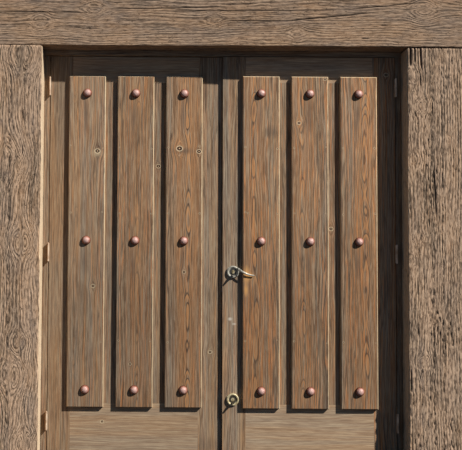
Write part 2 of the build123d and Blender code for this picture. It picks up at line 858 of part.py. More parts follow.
def hinge_flap(side, centre, on_frame):
    """A plate with its share of the knuckles, bored for the pin and the screws."""
    outward = side if on_frame else -side
    x_axis = side * hinge_axis
    y_axis = front[side] - hinge_stand_off
    plate_start = y_axis + knuckle_radius + turning_gap
    near = x_axis + outward * hinge_gap / 2
    far = near + outward * flap_thickness
    segment = hinge_height / knuckle_count
    with BuildPart() as flap:
        slab(near, far, plate_start, front[side] + flap_seat, centre - hinge_height / 2,
             centre + hinge_height / 2)
        for number in range(0 if on_frame else 1, knuckle_count, 2):
            low = centre - hinge_height / 2 + number * segment
            top = low + segment
            low += 0 if number == 0 else running_gap / 2
            top -= 0 if number == knuckle_count - 1 else running_gap / 2
            upright(x_axis, y_axis, low, top, knuckle_radius)
            slab(x_axis, far, y_axis, plate_start, low, top)
        upright(x_axis, y_axis, centre - hinge_height, centre + hinge_height,
                pin_radius + pin_clearance, Mode.SUBTRACT)
        with Locations(*screw_locations(side, on_frame)):
            add(screw_hole.part, mode=Mode.SUBTRACT)
    return flap.part


for side, name in side_names.items():
    for centre, level in zip(hinge_heights, hinge_names):
        save(hinge_flap(side, centre, True), f"{name}_{level}_frame_flap")
        save(hinge_flap(side, centre, False), f"{name}_{level}_leaf_flap")

with BuildPart() as hinge_pins:
    for side in side_names:
        for centre in hinge_heights:
            x, y = side * hinge_axis, front[side] - hinge_stand_off
            low, top = centre - hinge_height / 2, centre + hinge_height / 2
            upright(x, y, low, top, pin_radius)
            upright(x, y, top, top + pin_head_height, pin_head_radius)
            upright(x, y, low - pin_head_height, low, pin_head_radius)
save(hinge_pins.part, "hinge_pins")

screw_groups = {
    "frame_hinge_screws": screw_locations(-1, True) + screw_locations(1, True),
    "left_leaf_hinge_screws": screw_locations(-1, False),
    "right_leaf_hinge_screws": screw_locations(1, False),
}
for name, places in screw_groups.items():
    with BuildPart() as screws:
        with Locations(*places):
            add(hinge_screw.part)
    save(screws.part, name)


# Shoot bolts on the back of the left leaf

top_tip = stop_underside - shoot_tip_gap
drop_tip = drop_floor_gap + drop_throw
guide_middles = {
    "top": top_tip - shoot_length / 2 + guide_end,
    "bottom": drop_tip + shoot_length / 2 + guide_end,
}
plate_face = leaf_back + guide_plate_thickness

with BuildPart() as bolt_guides:
    for middle in guide_middles.values():
        slab(shoot_x - guide_plate_width / 2, shoot_x + guide_plate_width / 2,
             leaf_back, plate_face, middle - guide_plate_height / 2,
             middle + guide_plate_height / 2)
        for direction in (-1, 1):
            loop_middle = middle + direction * (guide_plate_height / 2 - guide_end
                                                - guide_loop_height / 2)
            slab(shoot_x - guide_loop_width / 2, shoot_x + guide_loop_width / 2, plate_face,
                 shoot_y + shoot_radius + guide_plate_thickness,
                 loop_middle - guide_loop_height / 2, loop_middle + guide_loop_height / 2)
        upright(shoot_x, shoot_y, middle - guide_plate_height, middle + guide_plate_height,
                shoot_radius + running_gap, Mode.SUBTRACT)
save(bolt_guides.part, "bolt_guides")


def shoot_bolt(tip, direction):
    """A round bolt with a knob on a neck; direction points from its tail to its tip."""
    tail = tip - direction * shoot_length
    knob_z = guide_middles["top" if direction > 0 else "bottom"] - direction * shoot_throw / 2
    with BuildPart() as bar:
        upright(shoot_x, shoot_y, min(tip, tail), max(tip, tail), shoot_radius)
        tip_face = bar.faces().sort_by(Axis.Z)[-1 if direction > 0 else 0]
        chamfer(tip_face.edges(), guide_plate_thickness / 2)
        rod(shoot_x, knob_z, shoot_y, shoot_y + shoot_radius + knob_reach, knob_neck)
        with Locations((shoot_x, shoot_y + shoot_radius + knob_reach, knob_z)):
            Sphere(knob_radius)
    return bar.part


save(shoot_bolt(top_tip, 1), "top_shoot_bolt")
save(shoot_bolt(drop_tip, -1), "bottom_shoot_bolt")
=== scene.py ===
import math
import random
from dataclasses import dataclass

import bpy
from mathutils import Matrix, Vector, noise


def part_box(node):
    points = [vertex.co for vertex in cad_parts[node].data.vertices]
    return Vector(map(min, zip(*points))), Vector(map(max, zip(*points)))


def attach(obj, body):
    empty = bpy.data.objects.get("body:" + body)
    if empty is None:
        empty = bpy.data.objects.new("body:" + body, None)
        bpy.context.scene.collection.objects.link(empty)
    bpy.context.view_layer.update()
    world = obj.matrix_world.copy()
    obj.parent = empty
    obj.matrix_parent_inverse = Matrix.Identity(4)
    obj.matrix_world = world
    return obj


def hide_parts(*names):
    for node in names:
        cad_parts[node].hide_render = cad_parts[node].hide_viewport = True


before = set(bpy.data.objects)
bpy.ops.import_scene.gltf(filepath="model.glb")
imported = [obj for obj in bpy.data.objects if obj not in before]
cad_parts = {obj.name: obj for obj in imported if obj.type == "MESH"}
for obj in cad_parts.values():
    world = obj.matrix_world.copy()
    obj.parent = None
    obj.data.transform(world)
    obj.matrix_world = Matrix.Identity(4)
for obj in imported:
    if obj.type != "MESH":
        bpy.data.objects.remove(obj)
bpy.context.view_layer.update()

# The photograph's frame, in pixels, and the camera that took it, in metres and degrees
IMAGE_WIDTH = 462
IMAGE_HEIGHT = 450
FOCAL_PIXELS = 953
SENSOR_WIDTH = 36
CAMERA_PLACE = (-0.50, -5.45, 1.03)
CAMERA_PITCH = 2.775
CAMERA_ROLL = 0.4
CAMERA_SHIFT = 0.208

# Lamps as travel, strength and angle: the sun, and a weak one that fills the back
KEY_LAMP = ((-1.33, 1.0, -1.33), 6.05, 1.2)
BACK_LAMP = ((0.75, -1.0, -0.9), 3.2, 25.0)
SKY_STRENGTH = 0.23
SKY_COLOUR = (0.30, 0.55, 1.0, 1)
BACKDROP_COLOUR = (0.80, 0.80, 0.79, 1)
FLOOR_COLOUR = (0.56, 0.54, 0.51, 1)
FLOOR_BLOTCH_COLOUR = (0.476, 0.459, 0.4335, 1)
FLOOR_BOUNCE_COLOUR = (0.05, 0.05, 0.055, 1)
FLOOR_BLOTCHES = 3.0
FLOOR_SIZE = 40

MM = 0.001


def srgb(red, green, blue):
    """A colour as a monitor shows it, from 0 to 255, turned into the linear values of a shader."""
    def linear(level):
        level /= 255
        return level / 12.92 if level <= 0.04045 else ((level + 0.055) / 1.055) ** 2.4
    return (linear(red), linear(green), linear(blue), 1)


# Sockets of Blender's mix node when it mixes colours
MIX_FACTOR = 0
MIX_FIRST = 6
MIX_SECOND = 7
MIX_COLOUR = 2


class Nodes:
    """The node tree of a material or a world, emptied, with short calls for new nodes."""

    def __init__(self, owner):
        owner.use_nodes = True
        self.tree = owner.node_tree
        self.tree.nodes.clear()

    def put(self, socket, value):
        """Set an input to a number or colour, or link it to another node's output."""
        if isinstance(value, bpy.types.NodeSocket):
            self.tree.links.new(value, socket)
        else:
            socket.default_value = value

    def node(self, kind, inputs=None, **settings):
        """A new node with its settings, and its inputs by name or number."""
        made = self.tree.nodes.new(kind)
        for key, value in settings.items():
            setattr(made, key, value)
        for key, value in (inputs or {}).items():
            self.put(made.inputs[key], value)
        return made

    def math(self, operation, first, second=0.0, clamp=False):
        return self.node("ShaderNodeMath", {0: first, 1: second}, operation=operation,
                         use_clamp=clamp).outputs[0]

    def seen(self):
        """1 where the camera sees a thing itself, and 0 where it only sends its light."""
        rays = self.node("ShaderNodeLightPath").outputs
        return self.math("MAXIMUM", rays["Is Camera Ray"], rays["Is Transmission Ray"])


class Shader(Nodes):
    """A material with a principled shader, and the sums and patterns that feed it."""

    def __init__(self, name):
        self.material = bpy.data.materials.new(name)
        super().__init__(self.material)
        self.surface = self.node("ShaderNodeBsdfPrincipled")
        self.node("ShaderNodeOutputMaterial", {"Surface": self.surface.outputs["BSDF"]})

    def plus(self, first, second):
        return self.math("ADD", first, second)

    def minus(self, first, second):
        return self.math("SUBTRACT", first, second)

    def times(self, first, second):
        return self.math("MULTIPLY", first, second)

    def vectors(self, operation, first, second=(0, 0, 0)):
        """The outputs of a sum on two vectors, by the names Vector and Value."""
        return self.node("ShaderNodeVectorMath", {0: first, 1: second},
                         operation=operation).outputs

    def split(self, vector):
        return self.node("ShaderNodeSeparateXYZ", {"Vector": vector}).outputs

    def join(self, x, y, z=0.0):
        return self.node("ShaderNodeCombineXYZ", {"X": x, "Y": y, "Z": z}).outputs[0]

    def mix(self, factor, first, second):
        return self.node("ShaderNodeMix", {
            MIX_FACTOR: factor, MIX_FIRST: first, MIX_SECOND: second},
            data_type="RGBA", clamp_factor=True).outputs[MIX_COLOUR]

    def ramp(self, value, *stops):
        """A value or colour that follows stops of (place, level or colour)."""
        made = self.node("ShaderNodeValToRGB", {"Fac": value})
        elements = made.color_ramp.elements
        while len(elements) < len(stops):
            elements.new(0.5)
        for element, (place, level) in zip(elements, stops):
            element.position = place
            element.color = level if isinstance(level, tuple) else (level, level, level, 1)
        return made.outputs["Color"]

    def rise(self, value, none, full):
        """0 where the value is none and 1 where it is full. Full may be the lower one."""
        return self.ramp(value, *sorted(((none, 0.0), (full, 1.0))))

    def object_place(self):
        return self.node("ShaderNodeTexCoord").outputs["Object"]

    def mapped(self, vector, scale=(1, 1, 1), shift=(0, 0, 0), turn=(0, 0, 0)):
        return self.node("ShaderNodeMapping", {
            "Vector": vector, "Scale": scale, "Location": shift,
            "Rotation": tuple(math.radians(angle) for angle in turn)}).outputs["Vector"]

    def noise(self, vector, pace, detail, rough):
        """Noise with about that many spots a metre."""
        return self.node("ShaderNodeTexNoise", {
            "Vector": vector, "Scale": pace, "Detail": detail,
            "Roughness": rough}).outputs["Fac"]

    def grain_noise(self, vector, across, along, detail, rough, shift=(0, 0, 0)):
        """Noise drawn out along Z, with its spots a metre across it and along it."""
        scaled = self.mapped(vector, (across, across, along), shift)
        return self.noise(scaled, 1.0, detail, rough)

    def rings(self, across, pace, warp, warp_size):
        """How far a point is from one growth ring to the next, from 0 to 1."""
        return self.math("FRACT", self.plus(self.times(across, pace),
                                            self.times(warp, warp_size)))

    def spot_reach(self, place, centre, size):
        """How far a point is from a spot's centre, in the spot's own half sizes."""
        offset = self.vectors("SUBTRACT", place, centre)["Vector"]
        scaled = self.mapped(offset, tuple(1 / part for part in size))
        return self.vectors("LENGTH", scaled)["Value"]

    def attribute(self, name):
        return self.node("ShaderNodeAttribute", attribute_name=name).outputs["Fac"]

    def bump(self, height, distance, strength):
        return self.node("ShaderNodeBump", {
            "Height": height, "Distance": distance, "Strength": strength}).outputs["Normal"]

    def finish(self, colour, roughness, specular, normal=None, metallic=0.0):
        for name, value in (("Base Color", colour), ("Roughness", roughness),
                            ("Specular IOR Level", specular), ("Metallic", metallic)):
            self.put(self.surface.inputs[name], value)
        if normal is not None:
            self.put(self.surface.inputs["Normal"], normal)
        return self.material


class Wood(Shader):
    """A shader whose colour is laid down tone over tone."""

    def lay(self, mask, strength, tone):
        """Lay a tone over the colour so far, by the mask times the strength."""
        self.colour = self.mix(self.times(mask, strength), self.colour, tone)

    def lay_tones(self, level, tones, gain=1.0):
        """Lay tones of (level where it isn't there, level of the full tone, strength, colour)."""
        for none, full, strength, tone in tones:
            self.lay(self.rise(level, none, full), strength * gain, tone)

    def shaded(self, value):
        """The colour so far, made lighter or darker."""
        shade = self.node("ShaderNodeHueSaturation", {"Value": value, "Color": self.colour})
        return shade.outputs["Color"]


# Planed wood

GREY_WOOD = srgb(143, 127, 107)
TAN_WOOD = srgb(164, 126, 88)
RUST_WOOD = srgb(192, 122, 68)
BROWN_WOOD = srgb(110, 82, 58)
DARK_WOOD = srgb(66, 50, 38)
PALE_WOOD = srgb(226, 200, 158)
FLAME_WOOD = srgb(186, 130, 80)
KNOT_WOOD = srgb(50, 31, 24)
KNOT_HEART = srgb(200, 164, 122)
STAIN_WOOD = srgb(92, 78, 66)
RING_WOOD = srgb(88, 70, 56)
RINGS_A_METRE = 54
RING_WARP = 7.0
# Each pattern is moved by up to this many metres, so that no two boards are alike
BOARD_DRIFT = 9
GRAIN_WANDER = 50 * MM
# Streaks along the grain: spots a metre across and along it, detail and roughness
STREAKS = {
    "bands": (24, 0.8, 2.0, 0.5), "rust": (100, 0.9, 4.0, 0.65), "brown": (125, 1.3, 4.0, 0.65),
    "grey": (110, 0.8, 4.0, 0.65), "dark": (175, 2.0, 4.0, 0.65), "speckle": (230, 14, 2.0, 0.5),
    "fibres": (430, 5, 3.0, 0.6),
}
STREAK_PACE_DEEP = 30
FIBRE_TONES = ((0.48, 0.38, 0.40, BROWN_WOOD), (0.52, 0.62, 0.22, PALE_WOOD))
SPECKLE_TONES = ((0.46, 0.34, 0.30, BROWN_WOOD), (0.54, 0.66, 0.12, PALE_WOOD))
CONTOUR_HALF_WIDTH = 0.03
# A knot bends the grain: its reach along it and its push in radii, how fast the push grows
# from its middle, and how fast it fades sideways
KNOT_REACH = 2.6
KNOT_PUSH = 1.5
KNOT_TURN = 1.4
KNOT_FADE = 0.05
# The arches of a flat-sawn board: how they bend, climb and heave, the rings to each unit of
# their sum, and how far from the middle they are full and fade out
FLAME_BEND = 450
FLAME_CLIMB = 0.4
FLAME_HEAVE = 1.8
FLAME_RINGS = 5.5
FLAME_FULL = 40 * MM
FLAME_END = 85 * MM
# Pale edges, partly wear and partly a painted highlight on the sunlit right and top: how far
# they reach in, how ragged their line is, their strength, and their shares on the right, top,
# left and foot
WEAR_AND_HIGHLIGHT_REACH = 3.6 * MM
WEAR_AND_HIGHLIGHT_RAGGED = 2.4
WEAR_AND_HIGHLIGHT_STRENGTH = 0.65
WEAR_AND_HIGHLIGHT_SHARES = (1.0, 0.9, 0.45, 0.35)
# How light a batten is at two shares of its height, from its shaded foot up
FOOT_SHADES = ((0.30, 0.77), (0.72, 1.0))
PLANED_RELIEF = 1.5 * MM
DENT_SHARE = 0.6


class PlanedWood(Wood):
    """Weathered planed pine: each method lays streaks, knots or marks over what is there.

    The grain is the axis it runs along. A knot is a centre and a radius.
    """

    def __init__(self, name, grain, seed, knots):
        super().__init__(name)
        draw = random.Random(seed)
        self.place = self.object_place()
        parts = self.split(self.place)
        across, self.length = parts["X"], parts["Z"]
        if grain == "X":
            across, self.length = self.length, across
        start = self.plus(self.length, draw.uniform(-BOARD_DRIFT, BOARD_DRIFT))
        self.plain = self.join(across, parts["Y"], start)
        bend = self.times(self.grain_noise(self.plain, 6, 1.0, 2.0, 0.5), GRAIN_WANDER)
        for centre, radius in knots:
            middle = (centre.x, centre.z) if grain == "Z" else (centre.z, centre.x)
            bend = self.minus(bend, self.knot_push(across, middle, radius))
        self.line = self.plus(across, bend)
        self.bent = self.join(self.line, parts["Y"], start)
        self.streaks = {}
        for layer, (pace_across, pace_along, detail, rough) in STREAKS.items():
            shift = tuple(draw.uniform(-BOARD_DRIFT, BOARD_DRIFT) for _ in range(3))
            scaled = self.mapped(self.bent, (pace_across, STREAK_PACE_DEEP, pace_along), shift)
            self.streaks[layer] = self.noise(scaled, 1.0, detail, rough)
        self.dent = 0.0

    def knot_push(self, across, middle, radius):
        """How far a knot pushes the grain aside, away from its own middle."""
        aside = self.math("DIVIDE", self.minus(across, middle[0]), radius)
        beyond = self.math("DIVIDE", self.minus(self.length, middle[1]), KNOT_REACH * radius)
        spread = self.plus(self.times(self.math("POWER", beyond, 2.0), 0.5),
                           self.times(self.math("POWER", aside, 2.0), KNOT_FADE))
        fade = self.math("EXPONENT", self.times(spread, -1.0))
        turned = self.math("TANH", self.times(aside, KNOT_TURN))
        return self.times(self.times(turned, fade), KNOT_PUSH * radius)

    def contour(self, level):
        """A thin line where a noise passes through its middle level."""
        away = self.math("DIVIDE", self.math("ABSOLUTE", self.minus(level, 0.5)),
                         CONTOUR_HALF_WIDTH)
        return self.math("SUBTRACT", 1.0, away, clamp=True)

    def growth_rings(self):
        """The early and the late wood of the rings, broken up by the streaks."""
        warp = self.grain_noise(self.bent, 11, 1.1, 3.0, 0.6)
        ring = self.rings(self.line, RINGS_A_METRE, warp, RING_WARP)
        early = self.times(self.ramp(ring, (0.0, 0.0), (0.2, 1.0), (0.5, 0.0)),
                           self.ramp(self.streaks["rust"], (0.44, 0.1), (0.54, 1.0)))
        late = self.times(self.ramp(ring, (0.56, 0.0), (0.72, 1.0), (0.86, 1.0), (0.98, 0.0)),
                          self.ramp(self.streaks["dark"], (0.42, 1.0), (0.56, 0.2)))
        return early, late

    def lay_grain(self, warmth, figure):
        """Bands, streaks, rings and fibres. Warmth is the rust's strength, and figure the lines'."""
        patches = self.grain_noise(self.plain, 9, 2.6, 3.0, 0.6)
        zones = self.grain_noise(self.plain, 15, 2.0, 2.0, 0.55, shift=(4, 4, 4))
        strong = self.ramp(zones, (0.36, 0.55 * figure), (0.58, 1.15 * figure))

        def lay_line(mask, strength, tone):
            self.lay(self.times(mask, strong), strength, tone)

        spread = min(1.0, figure) / 2
        bands = self.ramp(self.streaks["bands"], (0.40, 0.5 - spread), (0.60, 0.5 + spread))
        self.colour = self.mix(bands, GREY_WOOD, TAN_WOOD)
        lay_line(self.rise(self.streaks["grey"], 0.51, 0.57), 0.60, GREY_WOOD)
        lay_line(self.rise(self.streaks["rust"], 0.51, 0.57), warmth, RUST_WOOD)
        self.lay_tones(patches, ((0.50, 0.68, spread, GREY_WOOD),
                                 (0.46, 0.34, spread, BROWN_WOOD)))
        early, late = self.growth_rings()
        lay_line(early, warmth, RUST_WOOD)
        lay_line(late, 0.85, RING_WOOD)
        lay_line(self.rise(self.streaks["brown"], 0.46, 0.41), 0.7, BROWN_WOOD)
        lay_line(self.contour(self.streaks["dark"]), 0.7, DARK_WOOD)
        self.lay_tones(self.streaks["fibres"], FIBRE_TONES)

    def lay_flame(self, middle, strength):
        """The arches that flat-sawn rings draw round a middle line."""
        aside = self.minus(self.line, middle)
        heave = self.grain_noise(self.plain, 3, 2.6, 2.0, 0.5)
        climb = self.plus(self.times(self.length, FLAME_CLIMB), self.times(heave, FLAME_HEAVE))
        arch = self.plus(self.times(self.math("POWER", aside, 2.0), FLAME_BEND), climb)
        ring = self.math("FRACT", self.times(arch, FLAME_RINGS))
        near = self.times(strength, self.ramp(self.math("ABSOLUTE", aside),
                                              (FLAME_FULL, 1.0), (FLAME_END, 0.1)))
        pale = self.ramp(ring, (0.30, 0.0), (0.55, 1.0), (0.72, 1.0), (0.80, 0.0))
        dark = self.ramp(ring, (0.74, 0.0), (0.84, 1.0), (0.92, 1.0), (1.0, 0.0))
        self.lay(near, 0.15, FLAME_WOOD)
        self.lay(self.times(pale, near), 0.80, FLAME_WOOD)
        self.lay(self.times(dark, near), 0.85, DARK_WOOD)

    def lay_mark(self, centre, size, tone, strength):
        """A smudge, a rubbed place or a stain, uneven along the brown streaks."""
        reach = self.spot_reach(self.place, centre, size)
        uneven = self.ramp(self.streaks["brown"], (0.35, 1.0), (0.60, 0.35))
        self.lay(self.times(self.rise(reach, 1.0, 0.2), uneven), strength, tone)

    def lay_knot(self, centre, radius):
        """A pale heart in a dark, sunken ring with a pale rind."""
        reach = self.spot_reach(self.place, centre, (radius * 1.1, 1, radius * 0.9))
        ragged = self.times(self.minus(self.streaks["fibres"], 0.5), 0.4)
        half = self.times(self.plus(reach, ragged), 0.5)
        self.lay(self.ramp(half, (0.50, 0.0), (0.58, 0.8), (0.80, 0.0)), 1.0, PALE_WOOD)
        self.lay(self.rise(half, 0.22, 0.12), 1.0, KNOT_HEART)
        rim = self.ramp(half, (0.12, 0.0), (0.22, 1.0), (0.46, 1.0), (0.54, 0.0))
        self.lay(rim, 0.95, KNOT_WOOD)
        self.dent = self.plus(self.dent, rim)

    def lay_hole(self, centre, radius):
        """A dark nail hole with a pale rind."""
        reach = self.spot_reach(self.place, centre, (radius, 1, radius))
        self.lay(self.ramp(reach, (0.5, 0.0), (0.75, 0.7), (1.0, 0.0)), 1.0, PALE_WOOD)
        pit = self.rise(reach, 0.55, 0.35)
        self.lay(pit, 1.0, DARK_WOOD)
        self.dent = self.plus(self.dent, pit)

    def lay_edge_wear_and_highlight(self, low, high):
        """Pale worn edges round a box's front, with a painted highlight strongest on its right and
        top.
        """
        parts = self.split(self.place)
        uneven = self.grain_noise(self.place, 90, 18, 4.0, 0.7)
        ragged = self.times(uneven, WEAR_AND_HIGHLIGHT_REACH * WEAR_AND_HIGHLIGHT_RAGGED)
        worn_and_lit = 0.0
        edges = (("X", high.x, 1), ("Z", high.z, 1), ("X", low.x, -1), ("Z", low.z, -1))
        for (axis, edge, sign), share in zip(edges, WEAR_AND_HIGHLIGHT_SHARES):
            inset = self.times(self.minus(edge, parts[axis]), sign)
            mask = self.math("DIVIDE", self.minus(ragged, inset), WEAR_AND_HIGHLIGHT_REACH / 2, clamp=True)
            worn_and_lit = self.math("MAXIMUM", worn_and_lit, self.times(mask, share))
        self.lay(worn_and_lit, WEAR_AND_HIGHLIGHT_STRENGTH, PALE_WOOD)

    def foot_shade(self, low, high):
        """How light a board is from its shaded foot up."""
        share = self.math("DIVIDE", self.minus(self.length, low.z), high.z - low.z)
        return self.ramp(share, *FOOT_SHADES)

    def finish_wood(self, lightness):
        speckle, dark, fibres = (self.streaks[layer] for layer in ("speckle", "dark", "fibres"))
        height = self.plus(self.times(speckle, 0.3), dark)
        height = self.minus(height, self.times(self.dent, DENT_SHARE))
        normal = self.bump(height, PLANED_RELIEF, 0.7)
        roughness = self.ramp(fibres, (0.3, 0.9), (0.7, 0.7))
        return self.finish(self.shaded(lightness), roughness, 0.2, normal)


def planed_wood(name, grain, seed, warmth, lightness, figure, flame=None, knots=(), holes=(),
                marks=(), wear_and_light_box=None):
    """The material of one board.

    A flame is a middle and a strength, a hole a centre and a radius, and a mark a centre, half
    sizes, a tone and a strength. With a box given, its edges are worn pale, with a painted highlight
    strongest on the right and top, and its foot is painted darker as shade.
    """
    wood = PlanedWood(name, grain, seed, knots)
    wood.lay_grain(warmth, figure)
    if flame:
        wood.lay_flame(*flame)
    wood.lay_tones(wood.streaks["speckle"], SPECKLE_TONES)
    for mark in marks:
        wood.lay_mark(*mark)
    for knot in knots:
        wood.lay_knot(*knot)
    for hole in holes:
        wood.lay_hole(*hole)
    # Worn pale edges with a painted highlight on the right and top, and a foot painted darker as
    # shade
    if wear_and_light_box:
        wood.lay_edge_wear_and_highlight(*wear_and_light_box)
        lightness = wood.times(lightness, wood.foot_shade(*wear_and_light_box))
    return wood.finish_wood(lightness)


# Hewn wood

# The grain runs along local Z in this shader, and the turn brings a beam's grain there.
GRAIN_TURNS = {"Z": (0, 0, 0), "X": (0, 90, 0)}
HEWN_DRIFT = 3
HEWN_RINGS_A_METRE = 62
HEWN_RING_WARP = 5.0
# Noises in it: spots a metre across and along the grain, detail and roughness
HEWN_NOISES = {
    "warp": (9, 1.3, 3.0, 0.6), "gate": (45, 5, 2.0, 0.55), "coarse": (130, 5, 4.0, 0.65),
    "grains": (190, 30, 2.0, 0.6), "fibres": (330, 14, 3.0, 0.65), "grit": (115, 42, 4.0, 0.7),
    "patches": (10, 3.5, 5.0, 0.65), "rotten": (7, 3, 2.0, 0.5),
}
HEWN_GREY = srgb(128, 109, 94)
HEWN_TAN = srgb(168, 130, 96)
FURROW_TONE = srgb(62, 50, 39)
CREST_TONE = srgb(206, 172, 138)
# Dark tones laid into pits and cracks as painted shade
PIT_SHADE_TONE = srgb(44, 36, 29)
CRACK_SHADE_TONE = srgb(30, 24, 20)
FRESH_TONES = (srgb(196, 166, 130), srgb(230, 206, 170))
# The dark and the pale tone of each kind of grain, as lay_tones takes them. The ridges' dark tone
# is painted shade in the relief's grooves and pits, and their pale tone lies on the crests
RIDGE_AND_SHADE_TONES = ((0.50, 0.10, 0.45, srgb(82, 67, 53)), (0.55, 0.85, 0.35, srgb(198, 162, 130)))
COARSE_TONES = ((0.47, 0.36, 0.70, srgb(80, 66, 52)), (0.54, 0.64, 0.60, srgb(194, 161, 128)))
HEWN_FIBRE_TONES = ((0.48, 0.36, 0.55, srgb(80, 64, 48)),
                    (0.53, 0.63, 0.30, srgb(204, 170, 136)))
GRAIN_TONES = ((0.47, 0.40, 0.75, srgb(66, 54, 42)), (0.54, 0.61, 0.60, srgb(210, 178, 146)))
HEWN_RELIEF = 3.0 * MM


def hewn_wood(name, grain, seed, lightness, coarseness, ridge_and_shade_tone=1.0):
    """Old axe-worked timber. The mesh carries its ridges, cracks, bends and fresh faces.

    The coarseness is the strength of the short grain, and the ridge tone that of the ridges' tones,
    whose dark tone is painted shade in grooves and pits. Pits and cracks are darkened as painted
    shade.
    """
    draw = random.Random(seed)
    wood = Wood(name)
    bend = wood.attribute("bend")
    shift = tuple(draw.uniform(-HEWN_DRIFT, HEWN_DRIFT) for _ in range(3))
    turned = wood.mapped(wood.object_place(), shift=shift, turn=GRAIN_TURNS[grain])
    along = wood.vectors("ADD", turned, wood.join(bend, bend))["Vector"]
    noises = {layer: wood.grain_noise(along, *paces) for layer, paces in HEWN_NOISES.items()}
    coarse, grains, fibres = (noises[layer] for layer in ("coarse", "grains", "fibres"))

    parts = wood.split(along)
    ring = wood.rings(wood.plus(parts["X"], parts["Y"]), HEWN_RINGS_A_METRE, noises["warp"],
                      HEWN_RING_WARP)
    gate = wood.ramp(noises["gate"], (0.38, 0.2), (0.56, 1.0))
    furrow = wood.times(gate, wood.ramp(ring, (0.0, 0.0), (0.12, 1.0), (0.24, 1.0), (0.42, 0.0)))
    crest = wood.times(gate, wood.ramp(ring, (0.42, 0.0), (0.58, 1.0), (0.75, 1.0), (0.98, 0.0)))
    pits = wood.times(wood.rise(noises["grit"], 0.41, 0.34),
                      wood.ramp(noises["rotten"], (0.42, 0.25), (0.55, 1.0)))

    wood.colour = wood.mix(wood.rise(noises["patches"], 0.40, 0.60), HEWN_GREY, HEWN_TAN)
    # The ridges' tones: painted shade in grooves and pits, paler on the crests
    wood.lay_tones(wood.attribute("ridge"), RIDGE_AND_SHADE_TONES, ridge_and_shade_tone)
    wood.lay(furrow, 0.75, FURROW_TONE)
    wood.lay(crest, 0.45, CREST_TONE)
    wood.lay_tones(coarse, COARSE_TONES, coarseness)
    wood.lay_tones(fibres, HEWN_FIBRE_TONES)
    wood.lay_tones(grains, GRAIN_TONES, coarseness)
    # Pits darkened as painted shade
    wood.lay(pits, 0.70, PIT_SHADE_TONE)
    wood.lay(wood.attribute("fresh"), 0.85, wood.mix(fibres, *FRESH_TONES))
    # Cracks darkened as painted shade
    wood.lay(wood.attribute("crack"), 1.0, CRACK_SHADE_TONE)

    height = wood.times(fibres, 0.6)
    for mask, rise in ((coarse, 1.4 * coarseness), (grains, 0.6 * coarseness), (crest, 0.25),
                       (furrow, -0.35), (pits, -0.9)):
        height = wood.plus(height, wood.times(mask, rise))
    normal = wood.bump(height, HEWN_RELIEF, 0.7)
    return wood.finish(wood.shaded(lightness), 0.9, 0.12, normal)


# Metal

# A dark ring of painted shade in the recessed dish round a plug
DISH_SHADE_TONE = srgb(34, 28, 24)
DISH_SHADE_STRENGTH = 0.9
DENTS_TO_A_BLOTCH = 13
SCRATCH_PACES = (900, 60)
METAL_RELIEF = 0.12 * MM
# A nail head's height, and its tones from its foot, at 0, to its crown, at 1. The black foot is
# partly patina and partly painted shade
NAIL_RISE = 23 * MM
COPPER_AND_SHADE_TONES = ((0.12, srgb(44, 28, 22)), (0.42, srgb(132, 70, 44)), (0.68, srgb(156, 104, 84)),
                (0.92, srgb(202, 160, 144)))
COPPER_BLOTCHES = 95
HAMMER_MARKS = 190
HAMMER_RELIEF = 2.6 * MM


def worn_metal(name, bright, dull, roughness, metallic=1.0, blotches=76, dish_shade=None):
    """Handled metal: a brighter polished tone, duller blotches, fine scratches and small dents.

    Blotches are counted to the metre. The dish's shade is the middle and two radii of a dark ring
    of painted shade in the dish round a plug.
    """
    shader = Shader(name)
    place = shader.object_place()
    blotch = shader.noise(place, blotches, 4.0, 0.6)
    dents = shader.noise(place, blotches * DENTS_TO_A_BLOTCH, 3.0, 0.6)
    scratches = shader.grain_noise(place, *SCRATCH_PACES, 2.0, 0.5)
    colour = shader.mix(shader.rise(blotch, 0.62, 0.38), bright, dull)
    # A ring of painted shade in the dish between the two radii
    if dish_shade:
        centre, inner, outer = dish_shade
        ragged = shader.times(shader.minus(blotch, 0.5), 0.2)
        reach = shader.plus(ragged, shader.spot_reach(place, centre, (outer, 1, outer)))
        ring = shader.ramp(reach, (inner / outer * 0.8, 0.0), (inner / outer, 1.0),
                           (0.88, 1.0), (1.0, 0.0))
        colour = shader.mix(shader.times(ring, DISH_SHADE_STRENGTH), colour, DISH_SHADE_TONE)
    low, high = roughness
    rough = shader.plus(low, shader.times(shader.rise(blotch, 0.65, 0.35), high - low))
    height = shader.plus(shader.times(dents, 0.7), shader.times(scratches, 0.5))
    normal = shader.bump(height, METAL_RELIEF, 0.6)
    return shader.finish(colour, rough, 0.5, normal, metallic)


def hammered_copper(name, front):
    """Domed nail heads: a rubbed pale crown at that front Y, rust below it and a black foot."""
    shader = Shader(name)
    place = shader.object_place()
    blotch = shader.noise(place, COPPER_BLOTCHES, 3.0, 0.6)
    above = shader.minus(front + NAIL_RISE, shader.split(place)["Y"])
    share = shader.plus(shader.times(shader.minus(blotch, 0.5), 0.5),
                        shader.math("DIVIDE", above, NAIL_RISE))
    normal = shader.bump(shader.noise(place, HAMMER_MARKS, 2.0, 0.5), HAMMER_RELIEF, 0.9)
    roughness = shader.ramp(share, (0.3, 0.75), (0.9, 0.45))
    # The black foot is partly patina and partly painted shade where the dome meets the board
    return shader.finish(shader.ramp(share, *COPPER_AND_SHADE_TONES), roughness, 0.4, normal, 0.1)


# Stage: camera, lamps, sky and floor

def new_object(name, data):
    made = bpy.data.objects.new(name, data)
    bpy.context.scene.collection.objects.link(made)
    return made


